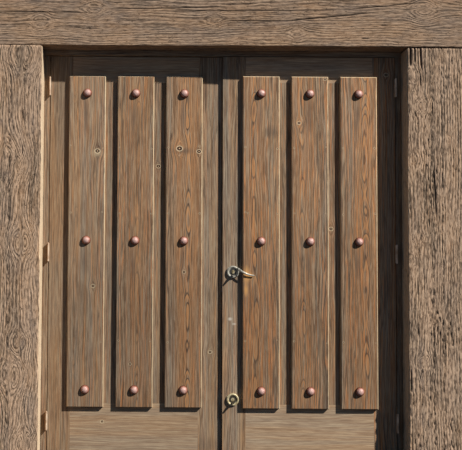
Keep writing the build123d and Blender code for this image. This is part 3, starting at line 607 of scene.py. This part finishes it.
def make_camera():
    data = bpy.data.cameras.new("camera")
    data.sensor_width = SENSOR_WIDTH
    data.lens = FOCAL_PIXELS / IMAGE_WIDTH * SENSOR_WIDTH
    data.shift_x = CAMERA_SHIFT
    camera = new_object("camera", data)
    upright = Matrix.Rotation(math.radians(90 + CAMERA_PITCH), 4, "X")
    roll = Matrix.Rotation(math.radians(CAMERA_ROLL), 4, "Z")
    camera.matrix_world = Matrix.Translation(CAMERA_PLACE) @ upright @ roll
    bpy.context.scene.camera = camera
    return camera


def make_lamp(name, travel, strength, angle):
    data = bpy.data.lights.new(name, "SUN")
    data.energy = strength
    data.angle = math.radians(angle)
    lamp = new_object(name, data)
    lamp.rotation_mode = "QUATERNION"
    lamp.rotation_quaternion = Vector(travel).to_track_quat("-Z", "Y")


def make_sky():
    """A dim blue sky gives light, and a pale backdrop is what the camera sees."""
    world = bpy.data.worlds.new("sky")
    bpy.context.scene.world = world
    sky = Nodes(world)
    light = sky.node("ShaderNodeBackground", {"Color": SKY_COLOUR, "Strength": SKY_STRENGTH})
    backdrop = sky.node("ShaderNodeBackground", {"Color": BACKDROP_COLOUR, "Strength": 1.0})
    both = sky.node("ShaderNodeMixShader", {
        0: sky.seen(), 1: light.outputs[0], 2: backdrop.outputs[0]})
    sky.node("ShaderNodeOutputWorld", {"Surface": both.outputs[0]})


def make_floor():
    """A pale floor that sends back only as much light as trodden ground does."""
    half = FLOOR_SIZE / 2
    mesh = bpy.data.meshes.new("floor")
    mesh.from_pydata([(-half, -half, 0), (half, -half, 0), (half, half, 0), (-half, half, 0)],
                     [], [(0, 1, 2, 3)])
    floor = new_object("floor", mesh)
    shader = Shader("floor")
    blotch = shader.noise(shader.object_place(), FLOOR_BLOTCHES, 4.0, 0.6)
    pale = shader.mix(shader.times(blotch, 0.2), FLOOR_COLOUR, FLOOR_BLOTCH_COLOUR)
    colour = shader.mix(shader.seen(), FLOOR_BOUNCE_COLOUR, pale)
    floor.data.materials.append(shader.finish(colour, 0.9, 0.1))


camera = make_camera()
make_lamp("key", *KEY_LAMP)
make_lamp("back", *BACK_LAMP)
make_sky()
make_floor()
bpy.context.scene.view_settings.view_transform = "Standard"


def photo_point(column, row, y):
    """Where the photograph's pixel falls on the upright plane at that Y."""
    middle = IMAGE_WIDTH / 2 - CAMERA_SHIFT * IMAGE_WIDTH
    ray = Vector(((column - middle) / FOCAL_PIXELS,
                  (IMAGE_HEIGHT / 2 - row) / FOCAL_PIXELS, -1))
    ray = camera.matrix_world.to_3x3() @ ray
    eye = Vector(CAMERA_PLACE)
    return eye + ray * ((y - eye.y) / ray.y)


# Hewn timbers

POST_SPACING = {"front": 3.0 * MM, "side": 5.5 * MM, "back": 9.0 * MM, "along": 8.0 * MM}
LINTEL_SPACING = {"front": 3.0 * MM, "side": 6.0 * MM, "back": 9.0 * MM, "along": 10.0 * MM}
CORNER_RADIUS = 6 * MM
CORNER_STEPS = 4
END_REACH = CORNER_RADIUS * 1.5
RIDGE_DEPTH = 1.5 * MM
PIT_DEPTH = 3.5 * MM
SWELL_DEPTH = 2.5 * MM
# The grain's slow and quick wander: its size, and its waves a metre along and round a timber
HEWN_WANDER = ((9 * MM, 2.1, 4), (2 * MM, 9, 20))
# A knot's reach in radii, and where its push ends, in reaches along the grain and radii aside
HEWN_KNOT_REACH = 2.4
KNOT_END = (3, 6)
# Waves a metre along and round a timber for what its surface does
GAIN_PACES = (2.5, 11)
ROT_PACES = (3.5, 12)
PIT_PACES = (34, 110)
ROW_PIT_PACES = (42, 95)
SWELL_PACES = (4.2, 6)
RIDGE_PACE_ALONG = 1.7
# Finer ridges on them: their pace along, their pace round against the ridges', and strength
FINE_RIDGE_PACE_ALONG = 4.2
FINE_RIDGE_RATIO = 1.8
FINE_RIDGE_STRENGTH = 0.5
STRIPE_STRENGTH = 0.8
CRACK_WANDER = 3 * MM
# A timber's end is a flat cap inside a narrow rim, with its own ridge, crack, bend and freshness
CAP_INSET = 0.05
CAP_LOOK = (0.5, 0, 0, 0)


def steps(start, end, spacing):
    """Evenly spaced places from start to end, both kept, about that far apart."""
    count = max(1, round(abs(end - start) / spacing))
    return [start + (end - start) * index / count for index in range(count + 1)]


def section_loop(width, depth, spacing):
    """A rounded rectangle as (p, q, outward p, outward q, unfolded place), front side first.

    p runs along the front and q towards the back. The unfolded place is p on the front.
    """
    radius = CORNER_RADIUS
    sides = (
        ((radius, 0), (width - radius, 0), (0, -1), spacing["front"]),
        ((width, radius), (width, depth - radius), (1, 0), spacing["side"]),
        ((width - radius, depth), (radius, depth), (0, 1), spacing["back"]),
        ((0, depth - radius), (0, radius), (-1, 0), spacing["side"]),
    )
    loop = []
    unfolded = radius
    for start, end, normal, pace in sides:
        length = math.dist(start, end)
        for along in steps(0, length, pace):
            share = along / length
            loop.append((start[0] + (end[0] - start[0]) * share,
                         start[1] + (end[1] - start[1]) * share, *normal, unfolded + along))
        unfolded += length
        quarter = radius * math.pi / 2
        centre = (end[0] - normal[0] * radius, end[1] - normal[1] * radius)
        first = math.atan2(normal[1], normal[0])
        for number in range(1, CORNER_STEPS):
            turned = number / CORNER_STEPS
            angle = first + turned * math.pi / 2
            across, back = math.cos(angle), math.sin(angle)
            loop.append((centre[0] + radius * across, centre[1] + radius * back, across, back,
                         unfolded + quarter * turned))
        unfolded += quarter
    return loop


def smooth(value, low, high):
    """0 below low, 1 above high, and a smooth rise between."""
    share = min(1, max(0, (value - low) / (high - low)))
    return share * share * (3 - 2 * share)


def waves(s, t, pace_s, pace_t, seed):
    """Smooth noise from -1 to 1. Another seed gives another pattern."""
    return noise.noise((s * pace_s, t * pace_t, seed))


@dataclass
class Relief:
    """How deep weather and axe have gone into a timber, at s along it and t round it.

    A knot is a place and a radius, and a crack two ends, a half width and a depth. A stripe is
    a band of even ridges, from one t to another, and their period, and a pit row a middle and a
    half width. Across the smooth band a smooth part turns rough. What is added to the seed
    keeps the patterns apart.
    """

    seed: float
    ridge_pace: float
    pitting: float
    knots: list
    cracks: list
    smooth_band: tuple = None
    stripes: tuple = ()
    pit_rows: tuple = ()

    def line(self, s, t):
        """The grain line through a point, bent round the knots."""
        line = t
        for size, pace_s, pace_t in HEWN_WANDER:
            line += size * waves(s, t, pace_s, pace_t, self.seed)
        for centre_s, centre_t, radius in self.knots:
            along = (s - centre_s) / (HEWN_KNOT_REACH * radius)
            aside = (t - centre_t) / radius
            if abs(along) < KNOT_END[0] and abs(aside) < KNOT_END[1]:
                line -= (KNOT_PUSH * radius * math.tanh(KNOT_TURN * aside)
                         * math.exp(-0.5 * along * along - KNOT_FADE * aside * aside))
        return line

    def ridge(self, s, t, line):
        """The ridges' height, from 0 to 1."""
        ridge = waves(s, line, RIDGE_PACE_ALONG, self.ridge_pace, self.seed + 3)
        fine = waves(s, line, FINE_RIDGE_PACE_ALONG, self.ridge_pace * FINE_RIDGE_RATIO,
                     self.seed + 8)
        ridge = smooth(ridge + FINE_RIDGE_STRENGTH * fine, -0.55, 0.45)
        for low, high, period in self.stripes:
            inside = smooth(t, low, low + period) * (1 - smooth(t, high - period, high))
            turn = 2 * math.pi * line / period + 2 * waves(s, 0, 4, 1, self.seed + 44)
            ridge += STRIPE_STRENGTH * inside * (0.5 + 0.5 * math.sin(turn) - ridge)
        return ridge

    def gain(self, s, t):
        """How much of the ridges is left, from place to place."""
        gain = 0.45 + 0.55 * smooth(waves(s, t, *GAIN_PACES, self.seed + 12), -0.25, 0.2)
        if self.smooth_band:
            gain *= 0.35 + 0.65 * smooth(t, *self.smooth_band)
        return gain

    def pit(self, s, t, line):
        """How deep the pits are, from 0 to about 1: deepest where the wood is rotten, or in rows."""
        rotten = smooth(waves(s, t, *ROT_PACES, self.seed + 20), -0.05, 0.35)
        pit = self.pitting * (0.25 + 0.75 * rotten) * smooth(
            waves(s, line, *PIT_PACES, self.seed + 31), 0.20, 0.45)
        for middle, half in self.pit_rows:
            near = math.exp(-((t - middle) / half) ** 2)
            row = smooth(waves(s, line, *ROW_PIT_PACES, self.seed + 61), -0.05, 0.25)
            pit = max(pit, near * row)
        return pit

    def crack(self, s, t):
        """How far a point is in a crack, from 0 to 1, and the crack's depth there."""
        crack, depth = 0, 0
        for s0, t0, s1, t1, gap, deep in self.cracks:
            share = (s - s0) / (s1 - s0)
            if 0 < share < 1:
                path = t0 + (t1 - t0) * share + CRACK_WANDER * waves(s, 0, 11, 1, self.seed + t0)
                fade = min(1, 5 * share, 5 * (1 - share))
                mask = math.exp(-((t - path) / gap) ** 2) * fade
                crack = max(crack, mask)
                depth = max(depth, deep * mask)
        return crack, depth

    def at(self, s, t):
        """Depth in metres, ridge height and crack from 0 to 1, and the grain's sideways bend."""
        line = self.line(s, t)
        groove = self.gain(s, t) * (1 - self.ridge(s, t, line))
        pit = self.pit(s, t, line)
        swell = 0.5 + 0.5 * waves(s, t, *SWELL_PACES, self.seed + 50)
        crack, depth = self.crack(s, t)
        depth += RIDGE_DEPTH * groove + PIT_DEPTH * pit + SWELL_DEPTH * swell
        # Pits lower the ridge height and raise the crack, which the colour turns into painted shade
        return (depth, (1 - groove) * (1 - 0.8 * pit), min(1, crack + 0.6 * smooth(pit, 0.5, 1)),
                line - t)


def add_cap(points, faces, layers, rim, turn):
    """Close an end by an inset ring and a flat face. The turn, 1 or -1, is the faces' side."""
    centre = sum((points[index] for index in rim), Vector()) / len(rim)
    inset = len(points)
    for index in rim:
        points.append(points[index].lerp(centre, CAP_INSET))
        for values, plain in zip(layers.values(), CAP_LOOK):
            values.append(plain)
    for index in range(len(rim)):
        following = (index + 1) % len(rim)
        faces.append((rim[index], rim[following], inset + following, inset + index)[::turn])
    faces.append(tuple(range(inset, inset + len(rim)))[::turn])


def hewn_timber(node, origin, directions, size, spacing, relief, material, chip=None,
                fresh=None, recess=None):
    """A closed mesh that stands for a hewn timber's solid, pressed in by its relief.

    directions and size go along its grain, across its front and inwards. chip(s, t) adds to
    the depth, fresh(s, t) is how unweathered it is, and recess(s) how far it is hewn back.
    """
    grain, crosswise, inward = (Vector(direction) for direction in directions)
    length, width, depth = size
    loop = section_loop(width, depth, spacing)
    stations = steps(0, length, spacing["along"])
    points = []
    layers = {"ridge": [], "crack": [], "bend": [], "fresh": []}
    for s in stations:
        end_round = CORNER_RADIUS * smooth(END_REACH - min(s, length - s), 0, END_REACH)
        hewn_back = recess(s) if recess else 0
        for p, q, out_p, out_q, t in loop:
            deep, ridge, crack, bend = relief.at(s, t)
            if chip:
                deep = max(0, deep + chip(s, t))
            deep += end_round
            back = q + hewn_back * (1 - q / depth) - out_q * deep
            points.append(Vector(origin) + grain * s + crosswise * (p - out_p * deep)
                          + inward * back)
            freshness = fresh(s, t) if fresh else 0
            for values, value in zip(layers.values(), (ridge, crack, bend, freshness)):
                values.append(value)
    count = len(loop)
    faces = []
    for station in range(len(stations) - 1):
        for index in range(count):
            a = station * count + index
            b = station * count + (index + 1) % count
            faces.append((a, a + count, b + count, b))
    side_faces = len(faces)
    last = len(points) - count
    add_cap(points, faces, layers, range(count), 1)
    add_cap(points, faces, layers, range(last, last + count), -1)
    if grain.cross(crosswise).dot(inward) > 0:
        faces = [face[::-1] for face in faces]

    mesh = bpy.data.meshes.new(f"{node}_hewn")
    mesh.from_pydata(points, [], faces)
    for name, values in layers.items():
        mesh.attributes.new(name, "FLOAT", "POINT").data.foreach_set("value", values)
    mesh.materials.append(material)
    mesh.shade_smooth()
    for face in mesh.polygons[side_faces:]:
        face.use_smooth = False
    piece = new_object(f"{node}_hewn", mesh)
    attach(piece, "frame")
    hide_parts(node)


# Knots as the photograph's columns and rows, and radii in millimetres
KNOTS = {
    "lintel_beam": ((94, 7, 16), (424, 9, 20), (214, 18, 13), (40, 21, 15), (297, 33, 12)),
    "left_post": ((22, 54, 30), (2, 160, 34), (17, 165, 14), (21, 243, 24), (19, 342, 18),
                  (9, 376, 28), (24, 445, 24)),
    "right_post": ((412, 76, 14), (415, 95, 8), (423, 106, 14), (414, 160, 10), (420, 238, 10),
                   (425, 362, 12), (412, 262, 9)),
    "left_batten_1": ((97.5, 151, 11), (93, 286, 8)), "left_batten_2": ((130, 364, 6),),
    "left_batten_3": ((179.5, 148.5, 13), (199, 151.5, 10), (184, 272, 7)),
    "right_batten_3": ((248, 213, 4),), "right_batten_2": ((299, 123, 8), (325, 79.5, 6)),
    "left_boards": ((158.4, 166.2, 9),), "right_boards": ((331, 229, 9),),
    "left_meeting_stile": ((210, 352, 8),), "left_bottom_rail": ((102, 421.5, 7),),
    "right_hinge_stile": ((386, 75, 9),),
}
# Cracks as the columns and rows of their ends, half widths and depths in millimetres
CRACKS = {
    "lintel_beam": ((-8, 10.5, 96, 12.5, 2.5, 4), (60, 27, 108, 29, 2, 2),
                    (100, 9, 236, 6.5, 2.5, 4), (150, 11, 320, 10, 2.5, 3),
                    (226, 21, 288, 20.5, 2.5, 4), (276, 21.5, 372, 13, 3, 5),
                    (340, 10, 430, 2, 2.5, 4), (380, 25, 388, 25.2, 3, 5),
                    (361, 38.5, 370, 38.3, 2.5, 4), (4, 22, 60, 18, 2, 2)),
    "left_post": ((22.5, 119, 22.5, 110, 2.5, 8), (22, 156, 22, 144, 2, 6),
                  (40.5, 280, 39, 270, 2.5, 8), (2, 158, 3, 150, 2, 5)),
    "right_post": ((410.8, 67, 410.6, 45, 4.5, 12), (415, 63, 415, 45, 3.5, 9),
                   (421.6, 69, 420.3, 45, 4.5, 12), (436.5, 222, 434, 165, 3.0, 8),
                   (412, 394, 411, 366, 2.5, 8), (430.5, 96, 430, 60, 1.8, 4),
                   (420.5, 87, 420.5, 74, 2.5, 6), (418, 296, 418, 282, 2.5, 6),
                   (418, 336, 418, 322, 2.5, 6)),
}


def timber_relief(node, place, seed, ridge_pace, pitting, **options):
    """A timber's relief, with its knots and cracks brought to s and t by its place function."""
    knots = [(*place(column, row), radius * MM) for column, row, radius in KNOTS[node]]
    cracks = [(*place(column0, row0), *place(column1, row1), gap * MM, deep * MM)
              for column0, row0, column1, row1, gap, deep in CRACKS[node]]
    return Relief(seed, ridge_pace, pitting, knots, cracks, **options)


lintel_low, lintel_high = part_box("lintel_beam")
lintel_size = lintel_high - lintel_low
LINTEL_DIRECTIONS = ((1, 0, 0), (0, 0, 1), (0, 1, 0))
LINTEL_EDGE_WAVE = 3 * MM
LINTEL_EDGE_HEIGHT = 14 * MM
# The front's hewn-back left part ends between these shares of the lintel's length
LINTEL_RECESS = 9 * MM
LINTEL_RECESS_END = (0.34, 0.60)


def lintel_place(column, row):
    """A pixel of the photograph as s and t on the lintel's front."""
    point = photo_point(column, row, lintel_low.y)
    return point.x - lintel_low.x, point.z - lintel_low.z


def lintel_chip(s, t):
    """The wavering lower edge of the lintel's front."""
    near = smooth(LINTEL_EDGE_HEIGHT - t, 0, LINTEL_EDGE_HEIGHT)
    return LINTEL_EDGE_WAVE * waves(s, 0, 9, 1, 77) * near


def lintel_recess(s):
    """The front's left half was hewn back a little further than its right half."""
    return LINTEL_RECESS * (1 - smooth(s / lintel_size.x, *LINTEL_RECESS_END))


hewn_timber("lintel_beam", lintel_low, LINTEL_DIRECTIONS,
            (lintel_size.x, lintel_size.z, lintel_size.y), LINTEL_SPACING,
            timber_relief("lintel_beam", lintel_place, 11.3, 75, 0.4, smooth_band=(0.05, 0.16)),
            hewn_wood("lintel_wood", "X", 1, 0.82, 0.45), chip=lintel_chip,
            recess=lintel_recess)

# Bands of even ridges and rows of pits, in metres round the post from its left front edge
POST_STRIPES = {"left_post": ((0.07, 0.16, 19 * MM),),
                "right_post": ((-0.02, 0.075, 21 * MM), (0.125, 0.34, 15 * MM))}
POST_PIT_ROWS = {"left_post": ((0.15, 0.008),), "right_post": ((0.142, 0.010), (0.195, 0.006))}
# Chips in the inner front edge as rows and half rows, and depths in millimetres
POST_CHIPS = {
    "left_post": ((243, 20, 11), (120, 14, 3), (340, 25, 3)),
    "right_post": ((108, 6, 10), (330, 14, 6), (205, 9, 4), (386, 7, 9), (399, 5, 8),
                   (411, 5, 7)),
}
POST_DIRECTIONS = ((0, 0, 1), (1, 0, 0), (0, 1, 0))
# The inner front edge's wear, and how far it and the chips reach on both sides of the edge
POST_EDGE_WEAR = 3.5 * MM
POST_EDGE_WIDTH = 11 * MM
POST_EDGE_END = 30 * MM
# How fresh the later planed inner faces are, and how far the line to them wavers
POST_FRESHNESS = {"left_post": 1, "right_post": 0.6}
POST_FRESH_WAVE = 3 * MM
# The photograph's column at which a row is read as a height
HEIGHT_COLUMN = 200


def hewn_post(node, seed, ridge_pace, pitting, lightness, coarseness, ridge_and_shade_tone):
    """A post whose front is worked to the photograph's knots, cracks and chipped inner edge."""
    low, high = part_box(node)
    size = high - low
    edge_right = node == "left_post"
    perimeter = section_loop(size.x, size.y, POST_SPACING)[-1][4]

    def place(column, row):
        point = photo_point(column, row, low.y)
        return point.z - low.z, point.x - low.x

    chips = []
    for row, half_rows, deep in POST_CHIPS[node]:
        middle, _ = place(HEIGHT_COLUMN, row)
        top, _ = place(HEIGHT_COLUMN, row - half_rows)
        chips.append((middle, top - middle, deep * MM))

    def from_edge(t):
        """How far round the inner front edge a point is; negative on the post's front."""
        if edge_right:
            return t - size.x
        return -t if t < perimeter / 2 else perimeter - t

    def chip(s, t):
        reach = abs(from_edge(t))
        if reach > POST_EDGE_END:
            return 0
        ragged = waves(s, 0, 14, 1, seed + 5) + 0.4 * waves(s, 0, 60, 1, seed)
        deep = POST_EDGE_WEAR * smooth(ragged, -0.2, 0.7)
        for middle, half, depth in chips:
            deep += depth * smooth(1 - abs(s - middle) / half, 0, 0.6)
        return deep * math.exp(-(reach / POST_EDGE_WIDTH) ** 2)

    def fresh(s, t):
        """The inner face was planed later, so it is paler than the weathered front."""
        edge = from_edge(t) + POST_FRESH_WAVE * waves(s, 0, 25, 1, seed + 9)
        return POST_FRESHNESS[node] * smooth(edge, -2 * MM, 3 * MM) if edge < size.y else 0

    relief = timber_relief(node, place, seed, ridge_pace, pitting, stripes=POST_STRIPES[node],
                           pit_rows=POST_PIT_ROWS[node])
    material = hewn_wood(f"{node}_wood", "Z", int(seed), lightness, coarseness, ridge_and_shade_tone)
    hewn_timber(node, low, POST_DIRECTIONS, (lintel_low.z, size.x, size.y), POST_SPACING, relief,
                material, chip=chip, fresh=fresh)


hewn_post("left_post", 23.7, 85, 0.45, 1.0, 0.65, 1.8)
hewn_post("right_post", 41.9, 80, 1.2, 0.92, 0.85, 2.3)


# Finish of the carried-over solids

# Warmth, lightness, figure, and the flame's place across the batten and its strength
BATTEN_LOOKS = {
    "left_batten_1": (0.40, 0.99, 0.95, (0.3, 0.15)),
    "left_batten_2": (0.48, 0.99, 1.70, (0.7, 0.40)),
    "left_batten_3": (0.30, 1.04, 2.20, (0.72, 0.95)),
    "right_batten_3": (0.52, 1.06, 2.20, (0.45, 0.70)),
    "right_batten_2": (0.48, 1.08, 2.30, (0.4, 0.60)),
    "right_batten_1": (0.48, 1.10, 2.40, (0.8, 0.75)),
}
SMUDGE = (srgb(84, 70, 58), 0.8)
RUBBED = (srgb(236, 172, 98), 0.95)
SCRATCHED = (srgb(226, 214, 192), 0.8)
# Marks as the photograph's columns and rows, half columns and half rows, and their looks
MARKS = {
    "right_batten_3": ((272, 132, 10, 8, SMUDGE), (246.5, 275, 4.5, 11, RUBBED),
                       (250, 276, 6, 4, RUBBED), (246, 290, 2.5, 8, RUBBED)),
    "right_meeting_stile": ((230, 319, 3, 2.2, SCRATCHED), (234, 324, 2.5, 1.5, SCRATCHED)),
    "left_meeting_stile": ((206, 446, 14, 10, SMUDGE),),
    "left_batten_1": ((97, 153, 8, 5, (PALE_WOOD, 0.35)),),
    "left_batten_3": ((184, 151, 16, 4, SMUDGE),),
}
NAIL_SHARES = (0.052, 0.5, 0.948)
# Brads stand in pairs at these rows of the photograph, each a little astray
BRAD_ROWS = (147.5, 212.5, 341)
BRAD_INSET = 14 * MM
BRAD_STRAY = 2 * MM
BRAD_STRAY_ALONG = 9 * MM
BRAD_RADIUS = 6 * MM
# A stain runs down from each nail, a little to its left
STAIN_HALF_SIZE = (22 * MM, 1, 130 * MM)
STAIN_ASIDE = 8 * MM
STAIN_STRENGTH = 0.8


def photo_knots(node):
    """The node's knots as places and radii in metres."""
    low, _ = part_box(node)
    return [(photo_point(column, row, low.y), radius * MM)
            for column, row, radius in KNOTS.get(node, ())]


def photo_marks(node):
    """The node's marks as places, half sizes in metres, tones and strengths."""
    low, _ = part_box(node)
    marks = []
    for column, row, half_columns, half_rows, (tone, strength) in MARKS.get(node, ()):
        centre = photo_point(column, row, low.y)
        corner = photo_point(column + half_columns, row - half_rows, low.y)
        marks.append((centre, (corner.x - centre.x, 1, corner.z - centre.z), tone, strength))
    return marks


def batten_wood(node, seed):
    """A batten's own board, with its photographed knots, its brads and its nails' stains."""
    low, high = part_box(node)
    draw = random.Random(seed)
    warmth, lightness, figure, (share_across, strength) = BATTEN_LOOKS[node]
    flame = (low.x + (high.x - low.x) * share_across, strength)
    holes = []
    for row in BRAD_ROWS:
        height = photo_point(HEIGHT_COLUMN, row, low.y).z
        for x in (low.x + BRAD_INSET, high.x - BRAD_INSET):
            place = Vector((x + draw.uniform(-BRAD_STRAY, BRAD_STRAY), low.y,
                            height + draw.uniform(-BRAD_STRAY_ALONG, BRAD_STRAY_ALONG)))
            holes.append((place, BRAD_RADIUS * draw.uniform(0.6, 1.1)))
    marks = photo_marks(node)
    for share in NAIL_SHARES:
        nail = low.z + (high.z - low.z) * share
        centre = Vector(((low.x + high.x) / 2 - STAIN_ASIDE, low.y, nail - STAIN_HALF_SIZE[2]))
        marks.append((centre, STAIN_HALF_SIZE, STAIN_WOOD, STAIN_STRENGTH))
    return planed_wood(f"{node}_wood", "Z", seed, warmth, lightness, figure, flame,
                       photo_knots(node), holes, marks, wear_and_light_box=(low, high))


# Metals: a bright and a dull tone, roughness from bright to dull, and how metallic
steel = worn_metal("hinge_steel", srgb(226, 200, 170), srgb(180, 148, 118), (0.4, 0.6), 0.3,
                   blotches=24)
# The lever and the lower rose get a ring of painted shade in the dish round their plugs
plug_low, plug_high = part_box("upper_plug")
lever_steel = worn_metal("lever_steel", srgb(204, 196, 176), srgb(138, 130, 114), (0.45, 0.6),
                         0.4, dish_shade=((plug_low + plug_high) / 2, 9 * MM, 23 * MM))
brass = worn_metal("lock_brass", srgb(226, 206, 160), srgb(166, 142, 98), (0.35, 0.5), 0.5)
plug_low, plug_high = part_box("lower_plug")
dished_brass = worn_metal("rose_brass", srgb(232, 216, 172), srgb(176, 152, 106), (0.35, 0.5),
                          0.4, dish_shade=((plug_low + plug_high) / 2, 8 * MM, 24 * MM))
case_steel = worn_metal("lock_steel", srgb(190, 188, 184), srgb(132, 128, 122), (0.3, 0.5))
black_iron = worn_metal("bolt_iron", srgb(52, 50, 48), srgb(28, 26, 25), (0.45, 0.7), 0.8)
metals = {node: metal for metal, *nodes in (
    (steel, "hinge_pins"), (dished_brass, "lower_rose"),
    (lever_steel, "outer_lever", "inside_lever", "upper_rose"),
    (brass, "upper_plug", "lower_plug", "thumb_turn", "inside_roses"),
    (case_steel, "upper_lock_case", "lower_lock_case", "upper_bolt", "lower_bolt",
     "strike_plates"),
    (black_iron, "bolt_guides", "top_shoot_bolt", "bottom_shoot_bolt"),
) for node in nodes}

# Warmth, lightness and figure
PLANED_LOOKS = {
    # The right hinge stile is warmer as painted warm bounce light in the right post's shade
    "left_hinge_stile": (0.20, 0.76, 0.7), "right_hinge_stile": (0.9, 0.92, 0.9),
    "left_meeting_stile": (0.20, 0.93, 1.2), "right_meeting_stile": (0.20, 0.99, 1.2),
    "left_boards": (0.35, 0.80, 0.9), "right_boards": (0.5, 0.84, 1.1),
    "left_bottom_rail": (0.10, 1.0, 0.35), "right_bottom_rail": (0.10, 1.13, 0.35),
    # The top rails are lighter and greyer as painted light: they stand in the lintel's shade
    "left_top_rail": (0.05, 1.2, 0.5), "right_top_rail": (0.05, 1.3, 0.5),
    "left_jamb": (0.3, 0.85, 0.9), "right_jamb": (0.3, 0.75, 0.9),
    # The head jamb is lighter and greyer as painted light in the lintel's shade
    "head_jamb": (0.05, 0.9, 0.9),
}
PLAIN_LOOKS = (0.4, 0.92, 0.9)


def node_material(node, seed):
    """The material of a node that keeps its solid."""
    if node in metals:
        return metals[node]
    if node.endswith(("_flap", "_screws")):
        return steel
    if node.endswith("_nails"):
        return hammered_copper(f"{node}_copper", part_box(node)[0].y)
    if node in BATTEN_LOOKS:
        return batten_wood(node, seed)
    grain = "X" if node.endswith("_rail") or node == "head_jamb" else "Z"
    looks = PLANED_LOOKS.get(node, PLAIN_LOOKS)
    return planed_wood(f"{node}_wood", grain, seed, *looks, knots=photo_knots(node),
                       marks=photo_marks(node))


for number, node in enumerate(sorted(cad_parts)):
    if node not in ("left_post", "right_post", "lintel_beam"):
        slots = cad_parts[node].data.materials
        slots.clear()
        slots.append(node_material(node, number))
